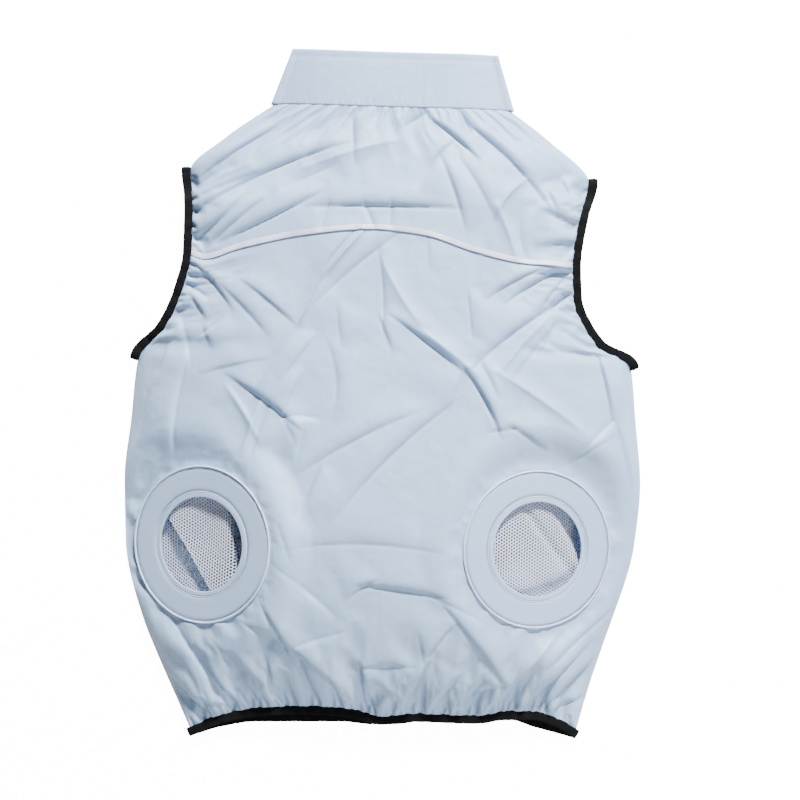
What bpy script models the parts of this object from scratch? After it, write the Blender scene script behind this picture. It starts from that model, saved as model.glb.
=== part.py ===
"""A sleeveless fan-cooling vest, lying on its front with its back up.

+Y runs from the hem to the collar, +X is on the right of someone looking down on the back,
and +Z is up. The origin is under the middle of the vest, on the surface that it lies on.
Every panel is a thin open surface, worked out from the sections and folds below and given
its wall by a Solidify modifier.
"""

import math

import bmesh
import bpy
import numpy as np
from mathutils import Matrix

# Whole vest, in metres
LENGTH = 0.735  # lowest point of the hem to the top of the collar
HALF_WIDTH = 0.276
BACK_HEIGHT = 0.070  # how high the back stands over the surface, at its fullest

# Cloth and trims
WALL = 0.0012
GAP = 0.0003  # clearance between neighbouring pieces
BINDING_WIDTH = 0.0085
BINDING_THICKNESS = 0.0026
BINDING_TURN = 0.0066  # height between the upper and lower run where a binding turns under
PIPING_WIDTH = 0.005
PIPING_THICKNESS = 0.0018
ZIP_WIDTH = 0.022
ZIP_THICKNESS = 0.002
FRONT_INSET = 0.008  # how much deeper the fronts are cut at the armholes

# Collar
COLLAR_HEIGHT = 0.058
COLLAR_WALL = 0.0022
COLLAR_TURN = 0.006  # height between the collar's two layers where it folds under
COLLAR_TAPER_LEFT = 0.022
COLLAR_TAPER_RIGHT = 0.016
COLLAR_LEAN = 0.35  # share of its height at the seam that the collar loses at its top

# Fan ports
RING_RADIUS = 0.0795
RING_HOLE_RADIUS = 0.049
RING_THICKNESS = 0.0014
EDGE_CORD_RADIUS = 0.0012
HOLE_CORD_RADIUS = 0.0007  # half the ring's thickness, so that a fan's rim passes over it
HOLE_CORD_INSET = 0.0057  # from the opening's edge to the middle of the corded seam
CLOTH_HOLE_MARGIN = 0.002  # how far the cloth stops short of the opening
RING_FLAT_MARGIN = 0.014  # flat cloth kept round the ring
RING_FADE = 0.045  # distance over which the flat runs out into the back
LINING_WALL = 0.001
LINING_OVERLAP = 0.026  # how far the net reaches under the cloth, past the opening
LINING_DEPTH = 0.020
LINING_BAG = 1.25  # how far the net sags, as a share of the opening's radius
LINING_FOLD = 0.006
LINING_FOLD_COUNT = 1.2  # folds across half of the net
LINING_FOLD_SLANT = 0.5

# Folds and gathers
FOLD_WIDTH = 0.024
FOLD_HEIGHT = 0.010
FOLD_CREST = 1.5  # 1 gives a sharp crest, 2 a round one
FOLD_TAPER = 0.7  # how quickly a fold rises from its ends
FOLD_EDGE_CALM = 0.08  # share of the half width beside an edge where folds die away
FOLD_HEM_CALM = 0.02
HEM_GATHER_DEPTH = 0.0035
HEM_GATHER_REACH = 0.045
HEM_GATHER_COUNT = 11
ARM_GATHER_DEPTH = 0.0025
ARM_GATHER_REACH = 0.030
ARM_GATHER_COUNT = 5
ARM_OUT_RISE = 0.2  # how far outwards leans towards the collar at an armhole
GATHER_EDGE_CALM = 0.03  # share of the half width beside an edge where gathers die away

# How full the back's cross-section is: a flat middle, then rounded sides.
SIDE_POWER = 3.0
SIDE_ROUNDING = 1.3
EDGE_CROWDING = 0.3  # how much closer the columns stand at the edges than in the middle

# Cells of each surface. Neighbouring pieces share their rows and columns, so that their
# facets follow each other.
BACK_COLUMNS = 32
FRONT_COLUMNS = 4
SKIRT_ROWS = 20  # hem to underarm
CHEST_ROWS = 10  # underarm to yoke seam
YOKE_ROWS = 7  # yoke seam to shoulder
SHOULDER_ROWS = 4  # shoulder to neck
FRONT_SKIRT_ROWS = 5
COLLAR_ROWS = 3
LINING_CELLS = 8
RING_SEGMENTS = 36
CORD_SIDES = 5
TURN_STEPS = 3

# Sections from the hem to the neck. u is a share of HALF_WIDTH from the middle, v a share of
# LENGTH from the bottom, rise and rim are shares of BACK_HEIGHT: the height of the middle and of an
# open edge. closed is 1 where the back is sewn to the front at the side or the shoulder, and
# 0 where the edge is open.
SECTION_COLUMNS = (
    "left_u", "left_v", "back_v", "front_v", "right_u", "right_v", "rise", "rim", "closed",
)
SECTIONS = {
    "hem": (-0.74, 0.018, 0.036, 0.032, 0.744, 0.015, 0.24, 0.12, 0.0),
    "low": (-0.83, 0.090, 0.105, 0.105, 0.805, 0.087, 0.66, 0.12, 1.0),
    "hip": (-0.92, 0.175, 0.189, 0.189, 0.885, 0.175, 0.92, 0.12, 1.0),
    "port": (-0.99, 0.283, 0.287, 0.287, 0.969, 0.279, 1.00, 0.12, 1.0),
    "waist": (-0.995, 0.376, 0.378, 0.378, 0.994, 0.369, 0.94, 0.12, 1.0),
    "chest": (-0.97, 0.462, 0.463, 0.463, 0.977, 0.455, 0.84, 0.12, 1.0),
    "underarm": (-0.94, 0.553, 0.550, 0.550, 0.955, 0.538, 0.75, 0.14, 1.0),
    "armhole_low": (-0.836, 0.593, 0.589, 0.589, 0.828, 0.566, 0.70, 0.24, 0.0),
    "armhole_mid": (-0.762, 0.649, 0.652, 0.652, 0.731, 0.634, 0.64, 0.30, 0.0),
    "seam": (-0.729, 0.697, 0.735, 0.725, 0.726, 0.683, 0.58, 0.32, 0.0),
    "armhole_high": (-0.725, 0.763, 0.785, 0.765, 0.757, 0.755, 0.53, 0.28, 0.0),
    "shoulder": (-0.742, 0.822, 0.839, 0.803, 0.797, 0.805, 0.45, 0.16, 1.0),
    "shoulder_mid": (-0.609, 0.870, 0.874, 0.832, 0.643, 0.865, 0.37, 0.12, 1.0),
    "neck": (-0.416, 0.919, 0.911, 0.864, 0.493, 0.909, 0.30, 0.12, 1.0),
}
SECTION_NAMES = list(SECTIONS)

# Height of the hem and of the yoke seam across the back: across runs from -1 at the left edge
# to 1 at the right, v is a share of LENGTH.
HEM_COLUMNS = ("across", "back_v", "front_v")
HEM_LINE = (
    (-1.00, 0.018, 0.016),
    (-0.85, 0.036, 0.028),
    (-0.64, 0.048, 0.036),
    (-0.40, 0.051, 0.036),
    (-0.17, 0.047, 0.036),
    (0.00, 0.036, 0.032),
    (0.15, 0.040, 0.036),
    (0.48, 0.037, 0.036),
    (0.65, 0.043, 0.038),
    (0.78, 0.042, 0.028),
    (0.92, 0.029, 0.018),
    (1.00, 0.015, 0.012),
)
SEAM_COLUMNS = ("across", "back_v")
SEAM_LINE = (
    (-1.00, 0.702),
    (-0.92, 0.696),
    (-0.75, 0.708),
    (-0.40, 0.727),
    (-0.05, 0.735),
    (0.20, 0.728),
    (0.50, 0.702),
    (0.75, 0.687),
    (1.00, 0.683),
)

# Main folds of the back: a fold runs from one place to another, bow bends it sideways by a
# share of its own length, width and lift are shares of FOLD_WIDTH and FOLD_HEIGHT, and lean
# makes the side to the left of the fold's direction steeper. A negative lift is a valley.
FOLD_COLUMNS = ("from_u", "from_v", "to_u", "to_v", "bow", "width", "lift", "lean")
FOLDS = (
    (-0.07, 0.73, -0.47, 0.51, 0.06, 0.9, 1.0, -0.3),
    (0.02, 0.70, -0.32, 0.50, 0.05, 1.2, -0.7, 0.0),
    (0.05, 0.60, 0.59, 0.42, 0.05, 0.9, -0.8, 0.2),
    (0.70, 0.62, 0.28, 0.52, -0.05, 0.9, 0.8, 0.0),
    (0.28, 0.52, -0.18, 0.33, -0.08, 1.1, 1.0, 0.2),
    (0.12, 0.47, -0.30, 0.35, 0.06, 1.1, -1.0, 0.0),
    (-0.70, 0.65, -0.31, 0.63, 0.05, 1.1, 0.7, 0.0),
    (-0.56, 0.52, -0.30, 0.45, -0.08, 0.7, -0.8, 0.0),
    (-0.83, 0.57, -0.92, 0.43, 0.04, 0.6, 0.6, 0.0),
    (-0.72, 0.63, -0.81, 0.41, 0.05, 0.9, -0.9, 0.0),
    (0.81, 0.56, 0.87, 0.46, 0.00, 0.6, -0.6, 0.0),
    (0.87, 0.46, 0.62, 0.39, -0.06, 0.8, 0.7, 0.0),
    (-0.38, 0.28, 0.31, 0.28, 0.03, 1.2, -0.5, 0.0),
    (-0.10, 0.22, 0.36, 0.20, -0.05, 0.8, 0.6, 0.0),
    (-0.87, 0.21, -0.55, 0.06, -0.05, 0.8, -0.7, 0.0),
    (-0.45, 0.21, -0.13, 0.06, -0.06, 0.7, -0.9, 0.2),
    (-0.38, 0.24, -0.20, 0.20, 0.00, 0.9, 0.7, 0.0),
    (-0.08, 0.11, 0.10, 0.11, 0.00, 0.7, -0.5, 0.0),
    (0.29, 0.18, 0.40, 0.08, 0.05, 0.7, 0.6, 0.0),
    (0.44, 0.07, 0.90, 0.21, 0.04, 0.8, 0.8, 0.0),
    (0.51, 0.05, 0.81, 0.16, 0.03, 0.7, -0.6, 0.0),
    (-0.70, 0.77, -0.14, 0.86, 0.06, 0.8, 0.8, 0.0),
    (-0.71, 0.74, -0.26, 0.79, 0.05, 0.7, -0.7, 0.0),
    (-0.31, 0.77, 0.18, 0.77, 0.00, 0.9, -0.5, 0.0),
    (-0.14, 0.90, -0.31, 0.85, 0.00, 1.0, -0.7, 0.0),
    (0.22, 0.85, 0.15, 0.79, 0.00, 0.7, 0.7, 0.0),
    (0.24, 0.86, 0.56, 0.79, 0.05, 0.8, 0.8, 0.0),
    (0.43, 0.87, 0.66, 0.77, 0.05, 0.9, -0.9, 0.0),
)

# Fan ports: centre as shares of HALF_WIDTH, LENGTH and BACK_HEIGHT, and lean about Y in degrees.
RING_COLUMNS = ("centre_u", "centre_v", "centre_rise", "lean_deg")
RINGS = {
    "left": (-0.680, 0.287, 0.575, -24.0),
    "right": (0.584, 0.280, 0.580, 17.0),
}

# Colour, roughness and metallic value of each material
FINISHES = {
    "ice_nylon": ((0.52, 0.60, 0.68, 1.0), 0.42, 0.0),
    "ring_nylon": ((0.50, 0.58, 0.66, 1.0), 0.45, 0.0),
    "reflective_tape": ((0.62, 0.58, 0.62, 1.0), 0.30, 0.3),
    "black_elastic": ((0.012, 0.012, 0.013, 1.0), 0.80, 0.0),
    "net_white": ((0.78, 0.79, 0.85, 1.0), 0.65, 0.0),
    "seam_cord": ((0.60, 0.66, 0.72, 1.0), 0.50, 0.0),
    "zip_grey": ((0.30, 0.34, 0.38, 1.0), 0.50, 0.0),
}


def columns_of(rows, names):
    """A table turned into one array for each named column."""
    return dict(zip(names, np.array(rows, dtype=float).T))


SECTION = columns_of(list(SECTIONS.values()), SECTION_COLUMNS)
HEM = columns_of(HEM_LINE, HEM_COLUMNS)
SEAM = columns_of(SEAM_LINE, SEAM_COLUMNS)
FOLD = columns_of(FOLDS, FOLD_COLUMNS)
RING = {side: dict(zip(RING_COLUMNS, row)) for side, row in RINGS.items()}

HEM_T = SECTION_NAMES.index("hem")
UNDERARM_T = SECTION_NAMES.index("underarm")
SEAM_T = SECTION_NAMES.index("seam")
SHOULDER_T = SECTION_NAMES.index("shoulder")
NECK_T = SECTION_NAMES.index("neck")

SEAM_Z = 2 * WALL + GAP  # the back's outer face where it is sewn down on the front
SEAM_SLACK = 1.5  # the rows close up towards the edges, so the seam's gap is wider in the middle
LINE_SPREAD = 1.6  # how many sections away the hem and seam lines stop bending the rows
LOWER_RUN_Z = BINDING_THICKNESS / 2
TINY = 1e-6  # keeps a column just off the middle, on its own side of the zip


def smooth_step(x):
    x = np.clip(x, 0.0, 1.0)
    return x * x * (3.0 - 2.0 * x)


def smooth_curve(knots, values, at):
    """A curve through the values that never overshoots them (harmonic-mean slopes)."""
    knots, values = np.asarray(knots, float), np.asarray(values, float)
    steps = np.diff(knots)
    rates = np.diff(values) / steps
    slopes = np.zeros_like(values)
    same_way = rates[:-1] * rates[1:] > 0
    inner = 2 * rates[:-1] * rates[1:] / np.where(same_way, rates[:-1] + rates[1:], 1.0)
    slopes[1:-1] = np.where(same_way, inner, 0.0)
    slopes[0], slopes[-1] = rates[0], rates[-1]
    at = np.clip(at, knots[0], knots[-1])
    cell = np.clip(np.searchsorted(knots, at, side="right") - 1, 0, len(steps) - 1)
    step = steps[cell]
    f = (at - knots[cell]) / step
    start, end = values[cell], values[cell + 1]
    bend = f * (1 - f) * step * (slopes[cell] * (1 - f) - slopes[cell + 1] * f)
    return start + (end - start) * smooth_step(f) + bend


def section(name, t):
    """A column of the sections, read smoothly at t, which counts sections from the hem."""
    return smooth_curve(np.arange(len(SECTION_NAMES)), SECTION[name], t)


def section_at_height(t_row, distance):
    """The t that lies a distance along +Y from a section, measured down the middle."""
    t = np.linspace(0, NECK_T, 40 * NECK_T + 1)
    v = section("back_v", t)
    return float(np.interp(section("back_v", np.array(t_row)) + distance / LENGTH, v, t))


def rows_between(t_start, t_end, count):
    """Values of t that are evenly spaced in height down the middle of the back."""
    t = np.linspace(t_start, t_end, 40 * NECK_T + 1)
    v = section("back_v", t)
    return np.interp(np.linspace(v[0], v[-1], count + 1), v, t)


def plan_y(s, t, middle):
    """World Y at s across and t along, from the two edges, the middle and the drawn lines."""
    left, right = section("left_v", t), section("right_v", t)

    def rows(left_v, right_v, middle_v):
        straight = (left_v * (1 - s) + right_v * (1 + s)) / 2
        return straight + (middle_v - (left_v + right_v) / 2) * (1 - s * s)

    v = rows(left, right, section(middle, t))
    lines = [(HEM_T, HEM, middle)]
    if middle == "back_v":
        lines.append((SEAM_T, SEAM, "back_v"))
    for row, line, column in lines:
        plain = rows(*(SECTION[name][row] for name in ("left_v", "right_v", middle)))
        drawn = smooth_curve(line["across"], line[column], s)
        v = v + (drawn - plain) * smooth_step(1 - np.abs(t - row) / LINE_SPREAD)
    return (v - 0.5) * LENGTH


def ring_centre(side):
    ring = RING[side]
    return np.array([
        ring["centre_u"] * HALF_WIDTH,
        (ring["centre_v"] - 0.5) * LENGTH,
        ring["centre_rise"] * BACK_HEIGHT,
    ])


def ring_plane(side, x, y):
    """Height of the cloth's plane under a ring, and the distance from the ring's centre in it."""
    centre = ring_centre(side)
    lean = math.radians(RING[side]["lean_deg"])
    run = (x - centre[0]) / math.cos(lean)
    height = centre[2] - GAP / math.cos(lean) - (x - centre[0]) * math.tan(lean)
    return height, np.hypot(run, y - centre[1])


def fold_height(x, y):
    """Sum of the folds: each is a ridge or valley that falls away exponentially on both sides."""
    total = np.zeros_like(x)
    for row in range(len(FOLDS)):
        fold = {name: column[row] for name, column in FOLD.items()}
        start = np.array([fold["from_u"] * HALF_WIDTH, (fold["from_v"] - 0.5) * LENGTH])
        end = np.array([fold["to_u"] * HALF_WIDTH, (fold["to_v"] - 0.5) * LENGTH])
        run = end - start
        length = np.hypot(*run)
        way = run / length
        along = ((x - start[0]) * way[0] + (y - start[1]) * way[1]) / length
        aside = (y - start[1]) * way[0] - (x - start[0]) * way[1]
        inside = np.clip(along, 0, 1)
        aside = aside - fold["bow"] * length * 4 * inside * (1 - inside)
        width = FOLD_WIDTH * fold["width"] * (1 - fold["lean"] * np.sign(aside))
        fade = np.sin(math.pi * inside) ** FOLD_TAPER
        total += FOLD_HEIGHT * fold["lift"] * fade * np.exp(-np.abs(aside / width) ** FOLD_CREST)
    return total


def gather_height(s, t, y_from_hem):
    """Gathers where the elastic pulls the cloth in, fading away from the hem and armholes."""
    hem = HEM_GATHER_DEPTH * np.cos(math.pi * HEM_GATHER_COUNT * s)
    hem = hem * np.exp(-np.maximum(y_from_hem, 0) / HEM_GATHER_REACH) * (1 - s ** 8)
    phase = (t - UNDERARM_T) / (SHOULDER_T - UNDERARM_T)
    in_armhole = np.sin(math.pi * np.clip(phase, 0, 1)) ** 0.5
    edge_distance = (1 - np.abs(s)) * (section("right_u", t) - section("left_u", t)) / 2
    edge_distance = edge_distance * HALF_WIDTH
    arm = ARM_GATHER_DEPTH * np.cos(2 * math.pi * ARM_GATHER_COUNT * phase) * in_armhole
    return hem + arm * np.exp(-edge_distance / ARM_GATHER_REACH)


def back_surface(s, t):
    """Outer face of the back at s across (-1 to 1) and t along (sections from the hem)."""
    left, right = section("left_u", t), section("right_u", t)
    x = (left * (1 - s) + right * (1 + s)) / 2 * HALF_WIDTH
    y = plan_y(s, t, "back_v")
    closed = smooth_step(section("closed", t))
    rim = closed * SEAM_Z + (1 - closed) * section("rim", t) * BACK_HEIGHT
    full = (1 - np.abs(s) ** SIDE_POWER) ** (1 / SIDE_ROUNDING)
    z = rim + (section("rise", t) * BACK_HEIGHT - rim) * full
    y_from_hem = y - plan_y(s, np.zeros_like(t) + HEM_T, "back_v")
    from_edge = 1 - np.abs(s)
    calm = smooth_step(from_edge / FOLD_EDGE_CALM) * smooth_step(y_from_hem / FOLD_HEM_CALM)
    z = z + fold_height(x, y) * calm
    z = z + gather_height(s, t, y_from_hem) * smooth_step(from_edge / GATHER_EDGE_CALM)
    for side in RINGS:
        plane, radius = ring_plane(side, x, y)
        flat = 1 - smooth_step((radius - RING_RADIUS - RING_FLAT_MARGIN) / RING_FADE)
        z = flat * plane + (1 - flat) * z
    return x, y, np.maximum(z, SEAM_Z)


def zip_line(t):
    """X of the zip's middle, which runs straight from the hem to the neck."""
    middles = (SECTION["left_u"] + SECTION["right_u"]) / 2 * HALF_WIDTH
    height = section("front_v", t)
    ends = section("front_v", np.array([HEM_T, NECK_T]))
    return np.interp(height, ends, (middles[HEM_T], middles[NECK_T]))


def front_surface(s, t):
    """Outer face of the fronts, which lie on the surface; s runs to 0 at the zip."""
    middle = zip_line(t)
    open_edge = 1 - smooth_step(section("closed", t))
    inset = FRONT_INSET * open_edge ** 3 * (t > UNDERARM_T)
    edge = np.where(s < 0, section("left_u", t), section("right_u", t)) * HALF_WIDTH
    edge = edge - np.sign(s) * inset
    zip_edge = middle + np.sign(s) * (ZIP_WIDTH / 2 + GAP)
    x = zip_edge + (edge - zip_edge) * np.abs(s)
    return x, plan_y(s, t, "front_v"), np.zeros_like(x)


def grid_object(name, columns, rows, place):
    """A flat grid whose points are moved to place(column, row), read from the two lists."""
    cells = (len(columns) - 1, len(rows) - 1)
    bpy.ops.mesh.primitive_grid_add(x_subdivisions=cells[0], y_subdivisions=cells[1], size=2)
    piece = bpy.context.object
    piece.name = piece.data.name = name
    points = np.empty(len(piece.data.vertices) * 3)
    piece.data.vertices.foreach_get("co", points)
    share = (points.reshape(-1, 3)[:, :2] + 1) / 2
    column, row = np.rint(share * cells).astype(int).T
    places = place(np.asarray(columns)[column], np.asarray(rows)[row])
    piece.data.vertices.foreach_set("co", np.stack(places, axis=1).ravel())
    piece.data.update()
    return piece


def give_wall(piece, thickness, side):
    """A wall on one side of the surface: -1 below its faces, 0 on both sides, 1 above."""
    wall = piece.modifiers.new("wall", "SOLIDIFY")
    wall.thickness = thickness
    wall.offset = side
    wall.use_even_offset = True


def close_loop(piece):
    """Joins the first and last rows of a strip that runs all the way round."""
    shape = bmesh.new()
    shape.from_mesh(piece.data)
    bmesh.ops.remove_doubles(shape, verts=shape.verts, dist=GAP / 10)
    bmesh.ops.recalc_face_normals(shape, faces=shape.faces)
    shape.to_mesh(piece.data)
    shape.free()


def back_columns():
    """Columns across the back, closer together towards both edges."""
    even = np.linspace(-1, 1, BACK_COLUMNS + 1)
    return even * (1 + EDGE_CROWDING * (1 - even * even))


def front_columns(sign):
    """Columns across one front, in order of x, which stop just short of the zip."""
    out = np.maximum(np.linspace(0, 1, FRONT_COLUMNS + 1), TINY)
    return np.sort(sign * out)


def seam_edges(clearance):
    """The t of both sides of the tape in the yoke seam, each with a clearance added."""
    reach = PIPING_WIDTH / 2 + SEAM_SLACK * clearance
    return section_at_height(SEAM_T, -reach), section_at_height(SEAM_T, reach)


def body_rows():
    skirt = rows_between(HEM_T, UNDERARM_T, SKIRT_ROWS)
    chest = rows_between(UNDERARM_T, seam_edges(GAP)[0], CHEST_ROWS)
    return np.append(skirt, chest[1:])


def yoke_rows():
    upper = rows_between(seam_edges(GAP)[1], SHOULDER_T, YOKE_ROWS)
    shoulder = rows_between(SHOULDER_T, NECK_T, SHOULDER_ROWS)
    return np.append(upper, shoulder[1:])


def armhole_rows():
    chest = rows_between(UNDERARM_T, seam_edges(GAP)[0], CHEST_ROWS)
    upper = rows_between(seam_edges(GAP)[1], SHOULDER_T, YOKE_ROWS)
    return np.append(chest, upper)


def front_rows():
    skirt = rows_between(HEM_T, UNDERARM_T, FRONT_SKIRT_ROWS)
    shoulder = rows_between(SHOULDER_T, NECK_T, SHOULDER_ROWS)
    return np.concatenate([skirt[:-1], armhole_rows(), shoulder[1:]])


def back_panel(name, rows):
    piece = grid_object(name, back_columns(), rows, back_surface)
    give_wall(piece, WALL, -1)
    return piece


def front_panel(name, sign):
    piece = grid_object(name, front_columns(sign), front_rows(), front_surface)
    give_wall(piece, WALL, 1)
    return piece


def stack(*columns):
    return np.stack(columns, axis=1)


def outward(path, towards):
    """Level unit vectors square to a path, on the side that towards points to."""
    along = np.gradient(path[:, :2], axis=0)
    square = stack(-along[:, 1], along[:, 0])
    square /= np.linalg.norm(square, axis=1, keepdims=True)
    flip = np.sign(np.sum(square * np.array(towards), axis=1, keepdims=True))
    return np.hstack([square * flip, np.zeros((len(path), 1))])


def half_turn(upper, lower, way):
    """Points of a half circle from the end of the upper run round to the lower one."""
    angles = np.linspace(0, math.pi, TURN_STEPS + 2)[1:-1, None]
    middle, reach = (upper + lower) / 2, abs(upper[2] - lower[2]) / 2
    turned = middle + (upper - middle) * np.cos(angles)
    return turned + np.append(way, 0.0) * reach * np.sin(angles)


def ribbon(name, inner, outer, thickness, closed):
    """A flat band between two edge paths, given its thickness on both sides."""

    def place(step, share):
        share = share[:, None]
        return (inner[step] * (1 - share) + outer[step] * share).T

    piece = grid_object(name, np.arange(len(inner)), (0, 1), place)
    if closed:
        close_loop(piece)
    give_wall(piece, thickness, 0)
    return piece


def end_ways(run):
    """The level direction in which each end of a run points away from it."""
    first, last = run[0] - run[1], run[-1] - run[-2]
    return [way[:2] / np.linalg.norm(way[:2]) for way in (first, last)]


def armhole_binding(side, sign):
    """A whole loop: up the back edge, under at the shoulder, down the front edge and round."""
    t = armhole_rows()
    edge = np.full_like(t, float(sign))
    back = stack(*back_surface(edge, t))
    back[:, 2] = np.maximum(back[:, 2] - WALL / 2, LOWER_RUN_Z + BINDING_TURN)
    front = stack(*front_surface(edge, t))
    front[:, 2] = LOWER_RUN_Z
    back_out, front_out = outward(back, (sign, ARM_OUT_RISE)), outward(front, (sign, ARM_OUT_RISE))
    low_way, high_way = end_ways(back)
    runs = [
        (back, back_out),
        (half_turn(back[-1], front[-1], high_way), back_out[-1]),
        (front[::-1], front_out[::-1]),
        (half_turn(back[0], front[0], low_way)[::-1], back_out[0]),
    ]
    inner = np.vstack([run + GAP * out for run, out in runs])
    outer = np.vstack([run + (GAP + BINDING_WIDTH) * out for run, out in runs])
    inner, outer = np.vstack([inner, inner[:1]]), np.vstack([outer, outer[:1]])
    return ribbon(f"armhole_binding_{side}", inner, outer, BINDING_THICKNESS, True)


def level_runs(t_row, low_z, turn):
    """The back's edge at a section and both fronts' edges below it, in order of x."""
    columns = back_columns()
    back = stack(*back_surface(columns, np.full_like(columns, float(t_row))))
    back[:, 2] = np.maximum(back[:, 2] - WALL / 2, low_z + turn)
    fronts = []
    for sign in (-1, 1):
        columns = front_columns(sign)
        front = stack(*front_surface(columns, np.full_like(columns, float(t_row))))
        front[:, 2] = low_z
        fronts.append(front)
    return back, *fronts


def hem_binding():
    """From the zip along the front hem, round the side, along the back hem and back to the zip."""
    back, left, right = level_runs(HEM_T, LOWER_RUN_Z, BINDING_TURN)
    down = (0.0, -1.0)
    back_out, left_out, right_out = (outward(run, down) for run in (back, left, right))
    left_way, right_way = end_ways(back)
    runs = [
        (left[::-1], left_out[::-1]),
        (half_turn(back[0], left[0], left_way)[::-1], back_out[0]),
        (back, back_out),
        (half_turn(back[-1], right[-1], right_way), back_out[-1]),
        (right[::-1], right_out[::-1]),
    ]
    inner = np.vstack([run + GAP * out for run, out in runs])
    outer = np.vstack([run + (GAP + BINDING_WIDTH) * out for run, out in runs])
    return ribbon("hem_binding", inner, outer, BINDING_THICKNESS, False)


def collar():
    """Two flat layers joined by a fold at each side and open at the front for the zip."""
    low_z = COLLAR_WALL / 2
    fold_z = low_z + COLLAR_TURN
    back, left, right = level_runs(NECK_T, low_z, COLLAR_TURN)
    base = np.vstack([
        left[::-1],
        half_turn(back[0], left[0], (-1.0, 0.0))[::-1],
        back,
        half_turn(back[-1], right[-1], (1.0, 0.0)),
        right[::-1],
    ])
    left_x, right_x = back[0, 0], back[-1, 0]
    middle = (left_x + right_x) / 2
    side = (base[:, 0] - middle) / ((right_x - left_x) / 2)
    taper = np.where(side < 0, COLLAR_TAPER_LEFT, -COLLAR_TAPER_RIGHT) * np.abs(side) ** 2

    def place(step, share):
        start = base[step]
        x = start[:, 0] + taper[step] * share
        y = start[:, 1] + GAP + COLLAR_HEIGHT * share
        drop = np.maximum(start[:, 2] - fold_z, 0) * COLLAR_LEAN
        return x, y, start[:, 2] - drop * share

    rows = np.linspace(0, 1, COLLAR_ROWS + 1)
    piece = grid_object("collar", np.arange(len(base)), rows, place)
    give_wall(piece, COLLAR_WALL, 0)
    return piece


def yoke_piping():
    """The tape that fills the seam between the body and the yoke."""

    def place(s, t):
        x, y, z = back_surface(s, t)
        return x, y, z + (PIPING_THICKNESS - WALL) / 2

    piece = grid_object("yoke_piping", back_columns(), seam_edges(0), place)
    give_wall(piece, PIPING_THICKNESS, -1)
    return piece


def front_zip():
    """The closed zip, a plain strip from the hem's edge to the top of the collar's front."""
    t = front_rows()
    middle = zip_line(t)
    height = plan_y(np.zeros_like(t), t, "front_v")
    middle = np.concatenate([middle[:1], middle, middle[-1:]])
    start, end = height[0] - GAP - BINDING_WIDTH, height[-1] + GAP + COLLAR_HEIGHT
    height = np.concatenate([[start], height, [end]])

    def place(side, step):
        x = middle[step] + side * ZIP_WIDTH / 2
        return x, height[step], np.full_like(x, ZIP_THICKNESS / 2)

    piece = grid_object("front_zip", (-1, 1), np.arange(len(height)), place)
    give_wall(piece, ZIP_THICKNESS, 0)
    return piece


def flat_ring(name, inner, outer, port):
    """A flat ring turned from its own section, seated on the cloth."""
    profile = bpy.data.meshes.new(name)
    corners = [
        (outer, 0, RING_THICKNESS),
        (inner, 0, RING_THICKNESS),
        (inner, 0, 0),
        (outer, 0, 0),
    ]
    profile.from_pydata(corners, [(1, 0), (2, 1), (3, 2), (0, 3)], [])
    ring = bpy.data.objects.new(name, profile)
    bpy.context.scene.collection.objects.link(ring)
    turn = ring.modifiers.new("turn", "SCREW")
    turn.steps = turn.render_steps = RING_SEGMENTS
    turn.use_merge_vertices = True
    turn.merge_threshold = 0.00001
    ring.parent = port
    return ring


def ring_cord(name, radius, thickness, port):
    """A round cord laid on the cloth, with its facets in step with the rings'."""
    bpy.ops.mesh.primitive_torus_add(
        major_segments=RING_SEGMENTS, minor_segments=CORD_SIDES,
        major_radius=radius, minor_radius=thickness,
    )
    cord = bpy.context.object
    cord.name = cord.data.name = name
    cord.data.transform(Matrix.Translation((0, 0, thickness)))
    cord.parent = port
    return cord


def net_lining(side, port):
    """A round patch of net behind the opening: its rim lies under the cloth, its middle sags."""
    radius = RING_HOLE_RADIUS + LINING_OVERLAP
    top = -2 * GAP - WALL

    def place(a, b):
        x = a * np.sqrt(1 - b * b / 2)
        y = b * np.sqrt(1 - a * a / 2)
        reach = np.hypot(x, y) * radius
        inside = 1 - smooth_step(reach / (RING_HOLE_RADIUS * LINING_BAG))
        phase = 2 * math.pi * LINING_FOLD_COUNT * (x - LINING_FOLD_SLANT * y)
        fold = np.cos(phase) * LINING_FOLD
        z = top - LINING_DEPTH * inside - np.abs(fold) * inside
        return x * radius, y * radius, z

    even = np.linspace(-1, 1, LINING_CELLS + 1)
    piece = grid_object(f"net_lining_{side}", even, even, place)
    give_wall(piece, LINING_WALL, -1)
    piece.parent = port
    return piece


def cut_port(panel, side, port, cutters):
    """Cuts the fan's hole through the back."""
    bpy.ops.mesh.primitive_cylinder_add(
        vertices=RING_SEGMENTS, radius=RING_HOLE_RADIUS + CLOTH_HOLE_MARGIN, depth=BACK_HEIGHT / 2,
    )
    cutter = bpy.context.object
    cutter.name = f"port_cutter_{side}"
    cutter.parent = port
    cutter.hide_render = True
    cutter.display_type = "WIRE"
    for holder in list(cutter.users_collection):
        holder.objects.unlink(cutter)
    cutters.objects.link(cutter)
    cut = panel.modifiers.new(f"port_{side}", "BOOLEAN")
    cut.operation = "DIFFERENCE"
    cut.solver = "EXACT"
    cut.object = cutter


def port_frame(side):
    """An empty on the ring's centre, leaning as the cloth does there."""
    port = bpy.data.objects.new(f"port_{side}", None)
    bpy.context.scene.collection.objects.link(port)
    port.location = ring_centre(side)
    port.rotation_euler = (0, math.radians(RING[side]["lean_deg"]), 0)
    return port


def finish_of(name):
    colour, roughness, metallic = FINISHES[name]
    material = bpy.data.materials.new(name)
    material.use_nodes = True
    shader = material.node_tree.nodes["Principled BSDF"]
    shader.inputs["Base Color"].default_value = colour
    shader.inputs["Roughness"].default_value = roughness
    shader.inputs["Metallic"].default_value = metallic
    return material


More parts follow.
